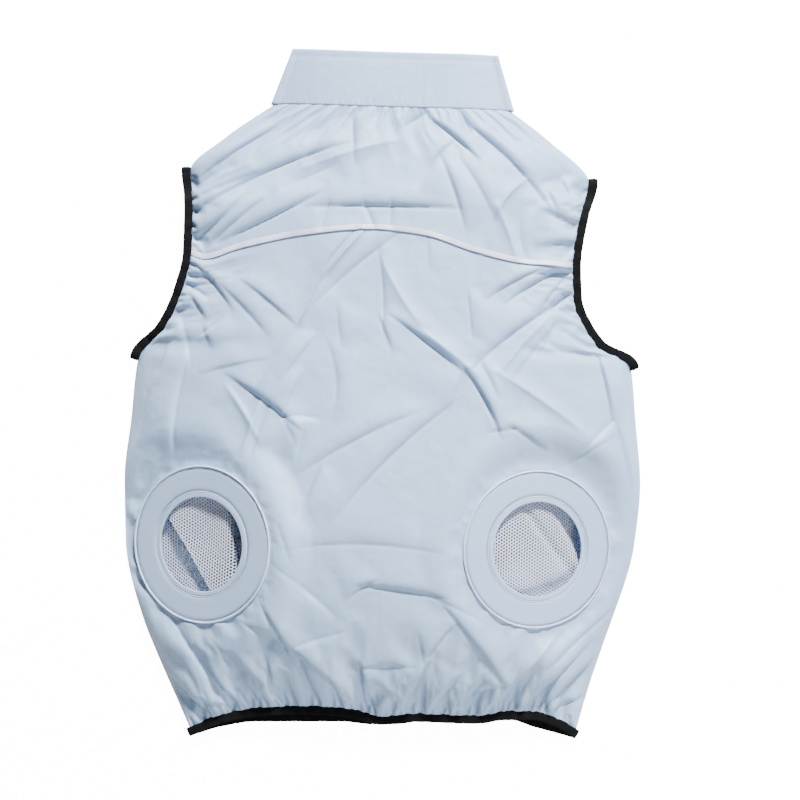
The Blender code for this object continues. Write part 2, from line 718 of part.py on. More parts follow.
def build():
    for old in list(bpy.data.objects):
        bpy.data.objects.remove(old, do_unlink=True)
    vest = bpy.data.collections.new("cooling_vest")
    cutters = bpy.data.collections.new("cutters")
    for collection in (vest, cutters):
        bpy.context.scene.collection.children.link(collection)

    body = back_panel("back_body", body_rows())
    pieces = {
        "ice_nylon": [
            body,
            back_panel("back_yoke", yoke_rows()),
            front_panel("front_left", -1),
            front_panel("front_right", 1),
            collar(),
        ],
        "reflective_tape": [yoke_piping()],
        "black_elastic": [
            armhole_binding("left", -1),
            armhole_binding("right", 1),
            hem_binding(),
        ],
        "zip_grey": [front_zip()],
        "ring_nylon": [],
        "seam_cord": [],
        "net_white": [],
    }
    for side in RINGS:
        port = port_frame(side)
        seam = RING_HOLE_RADIUS + HOLE_CORD_INSET
        beside = HOLE_CORD_RADIUS + GAP
        pieces["ring_nylon"] += [
            flat_ring(f"fan_ring_{side}", seam + beside, RING_RADIUS, port),
            flat_ring(f"port_flange_{side}", RING_HOLE_RADIUS, seam - beside, port),
        ]
        edge = RING_RADIUS + GAP + EDGE_CORD_RADIUS
        pieces["seam_cord"] += [
            ring_cord(f"ring_edge_cord_{side}", edge, EDGE_CORD_RADIUS, port),
            ring_cord(f"hole_edge_cord_{side}", seam, HOLE_CORD_RADIUS, port),
        ]
        pieces["net_white"].append(net_lining(side, port))
        cut_port(body, side, port, cutters)
    for finish, group in pieces.items():
        material = finish_of(finish)
        for piece in group:
            piece.data.materials.append(material)
            for holder in list(piece.users_collection):
                holder.objects.unlink(piece)
            vest.objects.link(piece)
            piece.data.shade_smooth()


build()
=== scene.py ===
# %% [markdown]
# # A fan-cooling vest, laid on its front
# A sleeveless work vest of thin pale nylon, seen from above with its back up. Two round ports
# in the lower back hold fans when it is worn, and show the white net lining when they are
# empty. Black elastic binds the armholes and the hem, and a silvery tape runs along the yoke
# seam.
#
# Cloth this thin is all folds, so most of this lesson is about them. The main folds are drawn in a short
# table, and a small relaxation then lets the cloth find the finer ones.
# The imported solids are loaded first, because every piece here stands where a solid does.

# %% Load the frame
import math

import bpy
import numpy as np
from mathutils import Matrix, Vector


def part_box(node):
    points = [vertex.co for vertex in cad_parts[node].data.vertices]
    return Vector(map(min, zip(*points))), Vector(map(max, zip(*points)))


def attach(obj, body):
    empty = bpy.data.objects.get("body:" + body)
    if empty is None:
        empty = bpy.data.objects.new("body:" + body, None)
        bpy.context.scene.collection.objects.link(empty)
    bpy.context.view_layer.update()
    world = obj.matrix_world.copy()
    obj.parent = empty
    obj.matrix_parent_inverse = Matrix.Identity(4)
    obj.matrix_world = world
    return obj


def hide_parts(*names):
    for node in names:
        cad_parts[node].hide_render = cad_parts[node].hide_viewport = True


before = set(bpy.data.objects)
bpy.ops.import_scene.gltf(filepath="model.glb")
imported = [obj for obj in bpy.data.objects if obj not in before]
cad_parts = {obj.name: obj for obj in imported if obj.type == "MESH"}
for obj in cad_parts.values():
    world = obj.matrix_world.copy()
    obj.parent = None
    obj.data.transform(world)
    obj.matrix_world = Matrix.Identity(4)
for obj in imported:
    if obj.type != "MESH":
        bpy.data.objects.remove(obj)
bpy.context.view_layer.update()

# %% [markdown]
# ## Sizes
# The same driving sizes as the solids have, in metres. A share u is counted from the middle in
# half widths, and a share v from the lowest point of the hem in lengths.

# %% Sizes of the vest
LENGTH = 0.735
HALF_WIDTH = 0.276
BACK_HEIGHT = 0.070
CLOTH = 0.0009  # thickness of the nylon with its seams pressed flat
GAP = 0.0003
SEAM_Z = 0.0027  # the back's outer face where it is sewn down on the front
BINDING_WIDTH = 0.0085
BINDING_THICKNESS = 0.0026
BINDING_TURN = 0.0066
TAPE_WIDTH = 0.0056
ZIP_WIDTH = 0.022
FRONT_INSET = 0.008
COLLAR_HEIGHT = 0.058
COLLAR_WALL = 0.0022
COLLAR_TURN = 0.006
COLLAR_TAPER_LEFT = 0.022
COLLAR_TAPER_RIGHT = 0.016
COLLAR_LEAN = 0.35
RING_RADIUS = 0.0795
PORT_RADIUS = 0.049
RING_THICKNESS = 0.0014
PORT_SEAM_RADIUS = PORT_RADIUS + 0.0057
HOLE_CORD_RADIUS = 0.0007
EDGE_CORD_RADIUS = 0.0012

# Camera over the vest, as high and as far aside as the photo's outline asks for
CAMERA_X, CAMERA_Y, CAMERA_Z = 0.0186, -0.0069, 1.5
SENSOR_WIDTH = 36.0
LENS = 63.3
FRAME_PIXELS = 800

SECTION_COLUMNS = (
    "left_u", "left_v", "back_v", "front_v", "right_u", "right_v", "rise", "rim", "closed",
)
SECTIONS = {
    "hem": (-0.74, 0.018, 0.036, 0.032, 0.744, 0.015, 0.24, 0.12, 0.0),
    "low": (-0.83, 0.090, 0.105, 0.105, 0.805, 0.087, 0.66, 0.12, 1.0),
    "hip": (-0.92, 0.175, 0.189, 0.189, 0.885, 0.175, 0.92, 0.12, 1.0),
    "port": (-0.99, 0.283, 0.287, 0.287, 0.969, 0.279, 1.00, 0.12, 1.0),
    "waist": (-0.995, 0.376, 0.378, 0.378, 0.994, 0.369, 0.94, 0.12, 1.0),
    "chest": (-0.97, 0.462, 0.463, 0.463, 0.977, 0.455, 0.84, 0.12, 1.0),
    "underarm": (-0.94, 0.553, 0.550, 0.550, 0.955, 0.538, 0.75, 0.14, 1.0),
    "armhole_low": (-0.836, 0.593, 0.589, 0.589, 0.828, 0.566, 0.70, 0.24, 0.0),
    "armhole_mid": (-0.762, 0.649, 0.652, 0.652, 0.731, 0.634, 0.64, 0.30, 0.0),
    "seam": (-0.729, 0.697, 0.735, 0.725, 0.726, 0.683, 0.58, 0.32, 0.0),
    "armhole_high": (-0.725, 0.763, 0.785, 0.765, 0.757, 0.755, 0.53, 0.28, 0.0),
    "shoulder": (-0.742, 0.822, 0.839, 0.803, 0.797, 0.805, 0.45, 0.16, 1.0),
    "shoulder_mid": (-0.609, 0.870, 0.874, 0.832, 0.643, 0.865, 0.37, 0.12, 1.0),
    "neck": (-0.416, 0.919, 0.911, 0.864, 0.493, 0.909, 0.30, 0.12, 1.0),
}
HEM_COLUMNS = ("across", "back_v", "front_v")
HEM_LINE = (
    (-1.00, 0.018, 0.016), (-0.85, 0.036, 0.028), (-0.64, 0.048, 0.036),
    (-0.40, 0.051, 0.036), (-0.17, 0.047, 0.036), (0.00, 0.036, 0.032),
    (0.15, 0.040, 0.036), (0.48, 0.037, 0.036), (0.65, 0.043, 0.038),
    (0.78, 0.042, 0.028), (0.92, 0.029, 0.018), (1.00, 0.015, 0.012),
)
SEAM_COLUMNS = ("across", "back_v")
SEAM_LINE = (
    (-1.00, 0.702), (-0.92, 0.696), (-0.75, 0.708), (-0.40, 0.727), (-0.05, 0.735),
    (0.20, 0.728), (0.50, 0.702), (0.75, 0.687), (1.00, 0.683),
)
RING_COLUMNS = ("centre_u", "centre_v", "centre_rise", "lean_deg")
RINGS = {
    "left": (-0.680, 0.287, 0.575, -24.0),
    "right": (0.584, 0.280, 0.580, 17.0),
}


def columns_of(rows, names):
    """A table turned into one array for each named column."""
    return dict(zip(names, np.array(rows, dtype=float).T))


SECTION = columns_of(list(SECTIONS.values()), SECTION_COLUMNS)
HEM = columns_of(HEM_LINE, HEM_COLUMNS)
SEAM = columns_of(SEAM_LINE, SEAM_COLUMNS)
RING = {side: dict(zip(RING_COLUMNS, row)) for side, row in RINGS.items()}
NAMES = list(SECTIONS)
HEM_T, UNDERARM_T, SEAM_T, SHOULDER_T, NECK_T = (
    NAMES.index(name) for name in ("hem", "underarm", "seam", "shoulder", "neck")
)
print("sections from hem to neck:", len(SECTIONS))

# %% [markdown]
# ## The vest's plain form
# Before any fold, the back is a smooth swell: a flat middle and rounded sides at each section,
# with the sections joined smoothly from hem to neck. Two numbers name any place on it, s
# across from -1 to 1 and t along, counted in sections.

# %% Form of the back and the fronts
SIDE_POWER = 3.0
SIDE_ROUNDING = 1.3
LINE_SPREAD = 1.6


def smooth_step(x):
    """0 below 0, 1 above 1, and three x squared less two x cubed between them."""
    x = np.clip(x, 0.0, 1.0)
    return x * x * (3.0 - 2.0 * x)


def smooth_curve(knots, values, at):
    """A cubic through the values whose slope at each is the harmonic mean of its neighbours'."""
    knots, values = np.asarray(knots, float), np.asarray(values, float)
    steps = np.diff(knots)
    rates = np.diff(values) / steps
    slopes = np.zeros_like(values)
    same_way = rates[:-1] * rates[1:] > 0
    inner = 2 * rates[:-1] * rates[1:] / np.where(same_way, rates[:-1] + rates[1:], 1.0)
    slopes[1:-1] = np.where(same_way, inner, 0.0)
    slopes[0], slopes[-1] = rates[0], rates[-1]
    at = np.clip(at, knots[0], knots[-1])
    cell = np.clip(np.searchsorted(knots, at, side="right") - 1, 0, len(steps) - 1)
    step = steps[cell]
    f = (at - knots[cell]) / step
    start, end = values[cell], values[cell + 1]
    bend = f * (1 - f) * step * (slopes[cell] * (1 - f) - slopes[cell + 1] * f)
    return start + (end - start) * smooth_step(f) + bend


def section(name, t):
    """A column of the sections, read smoothly at t."""
    return smooth_curve(np.arange(len(NAMES)), SECTION[name], t)


def rows_between(t_start, t_end, count):
    """Values of t that are evenly spaced in height down the middle of the back."""
    t = np.linspace(t_start, t_end, 40 * NECK_T + 1)
    v = section("back_v", t)
    return np.interp(np.linspace(v[0], v[-1], count + 1), v, t)


def plan_y(s, t, middle):
    """World Y: a parabola through both edges and the middle, bent near the hem and the seam."""
    left, right = section("left_v", t), section("right_v", t)

    def rows(left_v, right_v, middle_v):
        straight = (left_v * (1 - s) + right_v * (1 + s)) / 2
        return straight + (middle_v - (left_v + right_v) / 2) * (1 - s * s)

    v = rows(left, right, section(middle, t))
    lines = [(HEM_T, HEM, middle)]
    if middle == "back_v":
        lines.append((SEAM_T, SEAM, "back_v"))
    for row, line, column in lines:
        plain = rows(*(SECTION[name][row] for name in ("left_v", "right_v", middle)))
        drawn = smooth_curve(line["across"], line[column], s)
        v = v + (drawn - plain) * smooth_step(1 - np.abs(t - row) / LINE_SPREAD)
    return (v - 0.5) * LENGTH


def ring_centre(side):
    """Middle of a port's ring, in metres."""
    ring = RING[side]
    return np.array([
        ring["centre_u"] * HALF_WIDTH,
        (ring["centre_v"] - 0.5) * LENGTH,
        ring["centre_rise"] * BACK_HEIGHT,
    ])


def ring_plane(side, x, y):
    """Height of the leaning plane under a ring, and the distance from its centre in it."""
    centre = ring_centre(side)
    lean = math.radians(RING[side]["lean_deg"])
    run = (x - centre[0]) / math.cos(lean)
    height = centre[2] - GAP / math.cos(lean) - (x - centre[0]) * math.tan(lean)
    return height, np.hypot(run, y - centre[1])


def plain_back(s, t):
    """The unfolded back: each section is a flat middle with sides that fall off as a power of s."""
    left, right = section("left_u", t), section("right_u", t)
    x = (left * (1 - s) + right * (1 + s)) / 2 * HALF_WIDTH
    y = plan_y(s, t, "back_v")
    closed = smooth_step(section("closed", t))
    rim = closed * SEAM_Z + (1 - closed) * section("rim", t) * BACK_HEIGHT
    full = (1 - np.abs(s) ** SIDE_POWER) ** (1 / SIDE_ROUNDING)
    return x, y, rim + (section("rise", t) * BACK_HEIGHT - rim) * full


def zip_line(t):
    """X of the zip's middle, straight from the hem to the neck."""
    middles = (SECTION["left_u"] + SECTION["right_u"]) / 2 * HALF_WIDTH
    ends = section("front_v", np.array([HEM_T, NECK_T]))
    return np.interp(section("front_v", t), ends, (middles[HEM_T], middles[NECK_T]))


def plain_front(s, t):
    """The unfolded fronts, level: s runs from the zip at 0 to the side at -1 or 1."""
    open_edge = 1 - smooth_step(section("closed", t))
    inset = FRONT_INSET * open_edge ** 3 * (t > UNDERARM_T)
    edge = np.where(s < 0, section("left_u", t), section("right_u", t)) * HALF_WIDTH
    edge = edge - np.sign(s) * inset
    zip_edge = zip_line(t) + np.sign(s) * (ZIP_WIDTH / 2 + GAP)
    x = zip_edge + (edge - zip_edge) * np.abs(s)
    return x, plan_y(s, t, "front_v"), np.zeros_like(x)


print("back at its middle, in mm:", [round(1000 * float(v)) for v in plain_back(0.0, 4.0)])

# %% [markdown]
# ## The drawn folds
# Crisp nylon folds in straight lines that start at a pinch, such as the underarm, a port or the
# shoulder, and run out into the panel. The main ones are read off the photo by eye, in its own
# pixels, and put right by hand against trial renders.
#
# Each is a step with a crease at its foot. high says which side stands up, seen from the start
# of the fold: 1 is its left, -1 its right, and 0 makes a plain valley, or a ridge where the
# depth is negative. bow bends a fold sideways by a share of its length. All of them turned out
# too wide and too shallow in the first renders, so two shares correct the whole table at once.

# %% Table of folds
FOLD_COLUMNS = (
    "from_px", "from_py", "to_px", "to_py", "bow", "width_mm", "depth_mm", "high",
)
YOKE_FOLDS = (
    (198, 174, 270, 126, 0.02, 4, 4.0, 1), (193, 212, 352, 141, 0.05, 5, 5.0, 1),
    (352, 112, 353, 150, 0.00, 5, 3.5, 1), (310, 144, 340, 115, 0.03, 3, 2.0, -1),
    (192, 184, 208, 172, 0.04, 3, 2.5, 1), (192, 190, 245, 164, 0.05, 4, -1.6, 0),
    (194, 232, 239, 195, -0.09, 2.5, 3.6, 1), (214, 238, 262, 200, 0.02, 2.5, 3.4, 1),
    (222, 239, 319, 192, -0.01, 5, 5.5, 1), (308, 206, 458, 208, 0.01, 6, 5.0, 1),
    (322, 222, 327, 207, 0.00, 3, 1.2, 0), (366, 207, 372, 222, 0.00, 3, 1.2, 0),
    (391, 206, 390, 222, 0.00, 3, 1.2, 0), (300, 168, 402, 137, 0.03, 10, -1.8, 0),
    (288, 184, 332, 164, 0.00, 12, 1.8, 0), (433, 118, 474, 154, 0.04, 3, 3.2, 1),
    (466, 120, 550, 208, 0.05, 7, 5.0, 1), (501, 211, 525, 182, 0.14, 3, -2.4, 0),
    (422, 181, 439, 156, 0.02, 4, 3.4, -1), (441, 157, 463, 224, 0.03, 5, 4.4, 1),
    (460, 158, 494, 219, 0.04, 6, 2.8, 1), (438, 157, 453, 142, 0.10, 3, 2.2, 1),
    (549, 188, 556, 206, 0.00, 6, 3.5, 1), (566, 181, 579, 201, -0.05, 3, 2.5, 1),
    (550, 209, 576, 219, -0.10, 3, 2.8, 1), (545, 245, 576, 241, 0.03, 3, 3.0, 1),
    (497, 208, 514, 252, 0.06, 4, -2.2, 0), (525, 213, 528, 252, -0.15, 6, 2.2, 1),
    (412, 118, 421, 112, 0.00, 4, 2.6, 0), (465, 114, 469, 123, 0.00, 3, 2.0, 0),
    (193, 199, 262, 170, 0.04, 3, 1.8, 1),
)
UPPER_FOLDS = (
    (193, 265, 227, 307, 0.06, 3, 2.8, 1), (189, 286, 200, 293, 0.00, 3, 2.4, 0),
    (189, 297, 200, 314, 0.03, 3, 3.0, 1), (222, 288, 265, 334, 0.02, 7, 3.4, 1),
    (244, 284, 292, 324, 0.03, 3, 2.6, 1), (328, 272, 361, 233, 0.02, 3.5, -3.6, 0),
    (324, 268, 357, 229, 0.02, 2, 2.0, 1), (323, 298, 398, 235, 0.03, 10, 4.6, 1),
    (376, 248, 381, 330, 0.05, 6, 2.8, 1), (301, 318, 320, 283, 0.02, 2, 2.6, -1),
    (303, 321, 322, 283, 0.02, 2.5, -2.4, 0), (255, 390, 300, 323, 0.03, 2.5, 3.2, -1),
    (206, 373, 263, 361, 0.02, 2.5, 1.8, 1), (228, 378, 298, 429, 0.03, 4, 4.4, 1),
    (287, 413, 303, 377, 0.03, 3, 3.2, 1), (289, 418, 313, 419, 0.10, 5, 3.0, -1),
    (289, 375, 313, 342, 0.02, 4, 3.0, 1), (325, 345, 330, 415, 0.13, 6, 2.2, 1),
    (337, 312, 340, 340, 0.00, 5, 2.0, 1), (380, 321, 389, 345, 0.00, 3, 2.4, 1),
    (302, 474, 415, 415, 0.04, 8, 4.6, 1), (228, 390, 258, 438, 0.04, 4, -2.0, 0),
    (246, 448, 260, 406, 0.03, 4, -2.4, 0), (254, 450, 268, 409, 0.03, 4, 2.2, -1),
    (279, 410, 295, 440, 0.00, 6, 2.2, 1), (299, 452, 306, 424, 0.00, 4, 2.8, 1),
    (201, 331, 219, 317, -0.10, 4, 2.6, -1), (202, 328, 207, 343, 0.00, 4, 2.6, 1),
    (392, 318, 463, 374, 0.02, 2.5, 3.4, 1), (425, 334, 474, 373, 0.02, 4, -1.8, 0),
    (463, 372, 496, 433, 0.07, 3, 4.8, 1), (494, 432, 512, 429, 0.00, 6, 3.0, 1),
    (511, 429, 540, 448, 0.05, 5, 3.4, 1), (476, 368, 568, 301, 0.05, 5, 5.4, 1),
    (481, 366, 493, 391, 0.05, 3, 2.2, 1), (468, 298, 471, 331, 0.00, 5, 2.4, 1),
    (503, 369, 549, 319, 0.04, 4, -2.2, 0), (518, 376, 562, 321, 0.04, 4, 2.0, 1),
    (495, 296, 541, 271, 0.06, 3, 3.2, 1), (512, 301, 564, 270, 0.05, 4, 4.0, 1),
    (545, 308, 569, 278, 0.07, 2.5, 2.2, 1), (543, 274, 575, 271, 0.03, 4, 4.4, 1),
    (559, 304, 574, 291, 0.00, 3, 2.4, 0), (546, 348, 558, 324, 0.06, 4, 2.0, 1),
    (598, 351, 613, 420, 0.02, 3, 5.0, 1), (588, 448, 615, 423, 0.03, 6, 4.2, -1),
    (496, 373, 582, 432, 0.03, 5, -1.8, 0), (456, 403, 464, 374, 0.03, 5, 3.4, 1),
    (338, 519, 456, 404, 0.05, 8, 5.6, 1), (427, 236, 428, 263, 0.00, 5, 1.4, 1),
    (474, 312, 488, 246, 0.03, 6, 1.4, 1), (384, 261, 418, 319, -0.05, 7, -1.8, 0),
    (318, 470, 300, 510, 0.02, 4, 3.6, 1),
)
SIDE_FOLDS = (
    (163, 345, 150, 376, 0.02, 2.5, 3.4, 1), (147, 375, 130, 439, 0.02, 5, 3.6, 1),
    (178, 319, 188, 363, 0.05, 5, 2.4, -1), (187, 362, 173, 452, -0.06, 5, 4.0, -1),
    (629, 372, 635, 430, 0.00, 4, 3.6, -1), (617, 423, 633, 485, 0.03, 5, 4.0, 1),
    (569, 467, 615, 439, 0.02, 8, 2.6, 1),
)
LOWER_FOLDS = (
    (142, 572, 232, 708, -0.03, 5, 3.8, -1), (203, 668, 230, 709, 0.00, 2.5, 3.6, 1),
    (203, 631, 267, 689, -0.03, 3, 1.6, 1), (267, 666, 270, 683, 0.00, 3, 2.0, 1),
    (262, 602, 285, 648, 0.02, 3, 4.6, 1), (241, 620, 286, 646, 0.02, 5, 4.4, 1),
    (284, 646, 348, 713, 0.05, 3.5, 5.2, 1), (300, 660, 319, 707, -0.04, 3, 1.8, 1),
    (329, 681, 342, 711, 0.00, 2.5, 3.8, 1), (273, 562, 332, 611, 0.03, 8, 2.8, -1),
    (288, 648, 341, 631, 0.02, 9, 3.0, -1), (281, 526, 291, 554, 0.00, 3, 2.4, 1),
    (284, 550, 442, 554, 0.06, 12, 3.0, 1), (355, 595, 373, 582, 0.15, 4, 3.4, 1),
    (360, 584, 442, 596, 0.02, 5, 4.8, 1), (438, 598, 479, 620, 0.03, 8, 3.2, 1),
    (358, 668, 408, 667, 0.02, 6, 3.4, 1), (360, 667, 362, 692, 0.00, 2.5, 3.6, 1),
    (406, 713, 428, 664, 0.02, 3, 4.8, 1), (428, 657, 453, 626, 0.03, 5, 4.2, 1),
    (419, 639, 424, 667, 0.00, 7, 2.4, 1), (440, 602, 505, 690, 0.02, 6, 3.6, 1),
    (478, 694, 503, 688, 0.00, 5, 3.2, 1), (498, 713, 534, 667, 0.02, 3, 3.2, 1),
    (515, 678, 544, 626, 0.02, 6, 3.4, -1), (517, 683, 599, 597, 0.02, 4, -2.6, 0),
    (550, 671, 622, 611, 0.02, 6, 5.0, 1), (526, 715, 590, 651, 0.02, 3, 3.4, 1),
    (551, 711, 603, 661, 0.02, 4, 4.2, 1), (558, 717, 587, 705, 0.05, 2.5, 3.2, 1),
    (433, 713, 458, 681, 0.02, 4, 3.6, 1), (461, 715, 481, 686, 0.02, 5, 3.2, 1),
    (170, 687, 189, 709, 0.00, 7, 4.4, 1), (186, 706, 223, 712, 0.04, 3, 3.6, 1),
    (178, 703, 216, 722, 0.03, 3, 2.4, 1), (240, 689, 266, 707, 0.03, 2.5, 2.6, 1),
    (470, 560, 462, 548, 0.00, 5, 2.4, 1), (380, 690, 402, 706, 0.00, 4, 2.2, 1),
)
FOLDS = YOKE_FOLDS + UPPER_FOLDS + SIDE_FOLDS + LOWER_FOLDS
FOLD_Z = 0.045  # mean height of the cloth where the folds were read
FOLD_WIDTH_SHARE = 0.75
FOLD_WIDTHS_IN_MM = 2  # corrected widths are rounded to halves of a millimetre
LEAST_WIDTH_MM = 1.6
FOLD_DEPTH_SHARE = 1.3
FOLD_TAPER = 0.8
FOLD_RUN_OUT = 0.010
FOLD_BACK = 0.024  # how far behind a step the cloth comes down again
FOLD_BACK_SHARE = 0.5  # but on a short fold no more than this share of its length
FOLD_FOOT = 0.0007
CREASE_SHARE = 0.30  # of a fold's depth, for the crease pressed in at its foot
CREASE_WIDTH = 0.0013
CREASE_RING_FADE = 0.004
CREASE_EDGE_FADE = 0.04


def from_pixel(px, py):
    """Where the camera's line through a pixel meets the height FOLD_Z."""
    scale = (CAMERA_Z - FOLD_Z) * SENSOR_WIDTH / (LENS * FRAME_PIXELS)
    middle = FRAME_PIXELS / 2
    return (px - middle) * scale + CAMERA_X, (middle - py) * scale + CAMERA_Y


def fold_profile(aside, width, high, back):
    """A step, up to the side that high names and slowly down behind, or a valley where high is 0."""
    away = np.hypot(aside, FOLD_FOOT) - FOLD_FOOT
    if high == 0:
        return -np.exp(-away / width)
    behind = np.clip(aside * high / FOLD_FOOT, -1, 1) / 2 + 0.5
    return behind * (np.exp(-away / back) - np.exp(-away / width)).clip(0)


def corrected(fold):
    """Width and depth of a fold in metres: the table's values times their shares."""
    halves = round(fold["width_mm"] * FOLD_WIDTH_SHARE * FOLD_WIDTHS_IN_MM)
    width_mm = max(LEAST_WIDTH_MM, halves / FOLD_WIDTHS_IN_MM)
    return width_mm / 1000, round(fold["depth_mm"] * FOLD_DEPTH_SHARE, 1) / 1000


def fold_height(x, y, crease_only=False):
    """Sum of the folds, each faded out at its ends, or of the thin creases at their feet."""
    total = np.zeros_like(x)
    for row in FOLDS:
        fold = dict(zip(FOLD_COLUMNS, row))
        start = np.array(from_pixel(fold["from_px"], fold["from_py"]))
        run = np.array(from_pixel(fold["to_px"], fold["to_py"])) - start
        length = np.hypot(*run)
        way = run / length
        along = (x - start[0]) * way[0] + (y - start[1]) * way[1] + FOLD_RUN_OUT
        inside = np.clip(along / (length + 2 * FOLD_RUN_OUT), 0, 1)
        aside = (y - start[1]) * way[0] - (x - start[0]) * way[1]
        aside = aside - fold["bow"] * length * 4 * inside * (1 - inside)
        fade = np.clip(np.sin(math.pi * inside), 0, 1) ** FOLD_TAPER
        width, depth = corrected(fold)
        if crease_only:
            profile = -CREASE_SHARE * np.exp(-np.abs(aside) / CREASE_WIDTH)
        else:
            back = width + min(FOLD_BACK, FOLD_BACK_SHARE * length) * fade
            profile = fold_profile(aside, width, fold["high"], back)
        total += depth * fade * profile
    return total


print("drawn folds:", len(FOLDS))

# %% [markdown]
# ## Letting the cloth settle
# Drawn folds alone look like clay. Real cloth keeps its length: where elastic or a seam holds
# it shorter than it was cut, the spare length has to go up and down, and gathers appear by
# themselves. Blender's Cloth could do this, but a panel pinned to a drawn shape settles faster
# and more evenly on its own grid, so it is done here: each link between neighbours is pushed
# towards its cut length, every point is drawn back a little towards the drawn folds, and this
# is repeated on finer and finer grids.

# %% Links and relaxation
LINKS = ((0, 1), (1, 0), (1, 1), (-1, 1), (0, 2), (2, 0))
LINK_STIFFNESS = {(0, 1): 1.0, (1, 0): 1.0, (1, 1): 0.5, (-1, 1): 0.5}


def span(count, step):
    """The start and end slices of all links that reach step cells along one side of a grid."""
    return slice(max(0, -step), count - max(0, step)), slice(max(0, step), count + min(0, step))


def link_length(points, down, right):
    """Length of every link that reaches down rows and right columns."""
    (row_a, row_b), (column_a, column_b) = (
        span(points.shape[1], down), span(points.shape[2], right),
    )
    return np.linalg.norm(points[:, row_b, column_b] - points[:, row_a, column_a], axis=0)


def link_mean(values, down, right):
    """Mean of a value at both ends of every link."""
    (row_a, row_b), (column_a, column_b) = (
        span(values.shape[0], down), span(values.shape[1], right),
    )
    return (values[row_a, column_a] + values[row_b, column_b]) / 2


def link_groups(shape):
    """Links in groups in which no two share a point, so that a whole group moves at once."""
    rows, columns = shape
    every = slice(None)
    groups = []
    for down, right in LINKS:
        reach = max(abs(down), abs(right))
        for first in range(2 * reach):
            if right:
                start = slice(first, columns - right, 2 * reach)
                count = len(range(*start.indices(columns)))
                end = slice(first + right, first + right + 2 * reach * count, 2 * reach)
                row_a, row_b = span(rows, down)
                length_rows = every if down == 0 else slice(0, rows - 1)
                groups.append(((down, right), (row_a, start), (row_b, end), (length_rows, start)))
            else:
                start = slice(first, rows - down, 2 * reach)
                count = len(range(*start.indices(rows)))
                end = slice(first + down, first + down + 2 * reach * count, 2 * reach)
                groups.append(((down, right), (start, every), (end, every), (start, every)))
    return groups


def settle(drawn, free, spare_across, spare_along, turns, pull, bend, bump, floor, draw):
    """Cloth cut longer than drawn by the spare shares: links pushed to length, points pulled home.

    A link is moved at both ends by half of its error, shared by how free they are. The links
    that reach two cells only push, which keeps a fold from being sharper than the cloth allows.
    """
    cut = {}
    across, along = link_length(drawn, 0, 1), link_length(drawn, 1, 0)
    cut[0, 1] = across * (1 + link_mean(spare_across, 0, 1))
    cut[1, 0] = along * (1 + link_mean(spare_along, 1, 0))
    wider = (cut[0, 1] ** 2 - across ** 2)
    taller = (cut[1, 0] ** 2 - along ** 2)
    grown = (wider[:-1] + wider[1:] + taller[:, :-1] + taller[:, 1:]) / 2
    for way in ((1, 1), (-1, 1)):
        cut[way] = np.sqrt(link_length(drawn, *way) ** 2 + grown)
    cut[0, 2] = link_length(drawn, 0, 2) * (1 + link_mean(spare_across, 0, 2))
    cut[2, 0] = link_length(drawn, 2, 0) * (1 + link_mean(spare_along, 2, 0))
    points = drawn.copy()
    points[2] += draw.standard_normal(free.shape).astype(np.float32) * bump * free
    steps = []
    for way, start, end, lengths in link_groups(free.shape):
        total = np.maximum(free[start] + free[end], 1e-6)
        stiff = LINK_STIFFNESS.get(way, bend)
        steps.append((
            (slice(None), *start), (slice(None), *end), cut[way][lengths].astype(np.float32),
            stiff * free[start] / total, stiff * free[end] / total, max(way) == 2,
        ))
    for _ in range(turns):
        points += pull * free * (drawn - points)
        for start, end, length, give_start, give_end, only_push in steps:
            reach = points[end] - points[start]
            error = 1 - length / np.sqrt(np.einsum("kij,kij->ij", reach, reach))
            if only_push:
                error = np.minimum(error, 0)
            points[start] += reach * (error * give_start)
            points[end] -= reach * (error * give_end)
        np.maximum(points[2], floor, out=points[2])
    return points


def doubled(points):
    """The same surface on a grid twice as fine, by cubic interpolation along each side."""
    for axis in (1, 2):
        grid = np.moveaxis(points, axis, -1)
        before = 2 * grid[..., :1] - grid[..., 1:2]
        after = 2 * grid[..., -1:] - grid[..., -2:-1]
        wide = np.concatenate([before, grid, after], axis=-1)
        fine = np.empty(grid.shape[:-1] + (2 * grid.shape[-1] - 1,), np.float32)
        fine[..., ::2] = grid
        fine[..., 1::2] = (9 * (grid[..., :-1] + grid[..., 1:]) - wide[..., :-3] - wide[..., 3:]) / 16
        points = np.moveaxis(fine, -1, axis)
    return points


print("link kinds:", len(LINKS))

# %% [markdown]
# ## The back's cloth
# Hem to neck is one sheet while it settles, so folds run through the yoke seam as they do on a
# sewn vest. The spare length is small in the open panel, and large beside the elastic of the
# hem and armholes, under the collar and round the rings. Coarse grids make the broad folds and
# fine ones the gathers. The thin creases are pressed in last, because the relaxation would
# smooth them out.

# %% Settle the back
GRID_COLUMNS = (
    "across", "body", "yoke", "turns", "pull", "bend", "bump",
    "spare", "hem", "hem_reach", "arm", "arm_reach", "neck", "neck_reach", "ring",
)
GRIDS = (
    (40, 38, 10, 400, 0.020, 0.30, 0.05, 0.0030, 0.03, 0.050, 0.02, 0.040, 0.02, 0.040, 0.010),
    (80, 76, 20, 500, 0.015, 0.30, 0.10, 0.0020, 0.06, 0.035, 0.04, 0.030, 0.03, 0.030, 0.010),
    (160, 152, 40, 450, 0.015, 0.20, 0.15, 0.0010, 0.11, 0.020, 0.08, 0.020, 0.04, 0.018, 0.008),
    (320, 304, 80, 300, 0.020, 0.12, 0.12, 0.0005, 0.10, 0.010, 0.06, 0.008, 0.03, 0.010, 0.003),
)
EDGE_CALM = 0.05
HEM_CALM = 0.015
RING_FLAT_MARGIN = 0.006
RING_FADE = 0.045
RING_HOLD = 0.003
RING_SPARE_REACH = 0.015
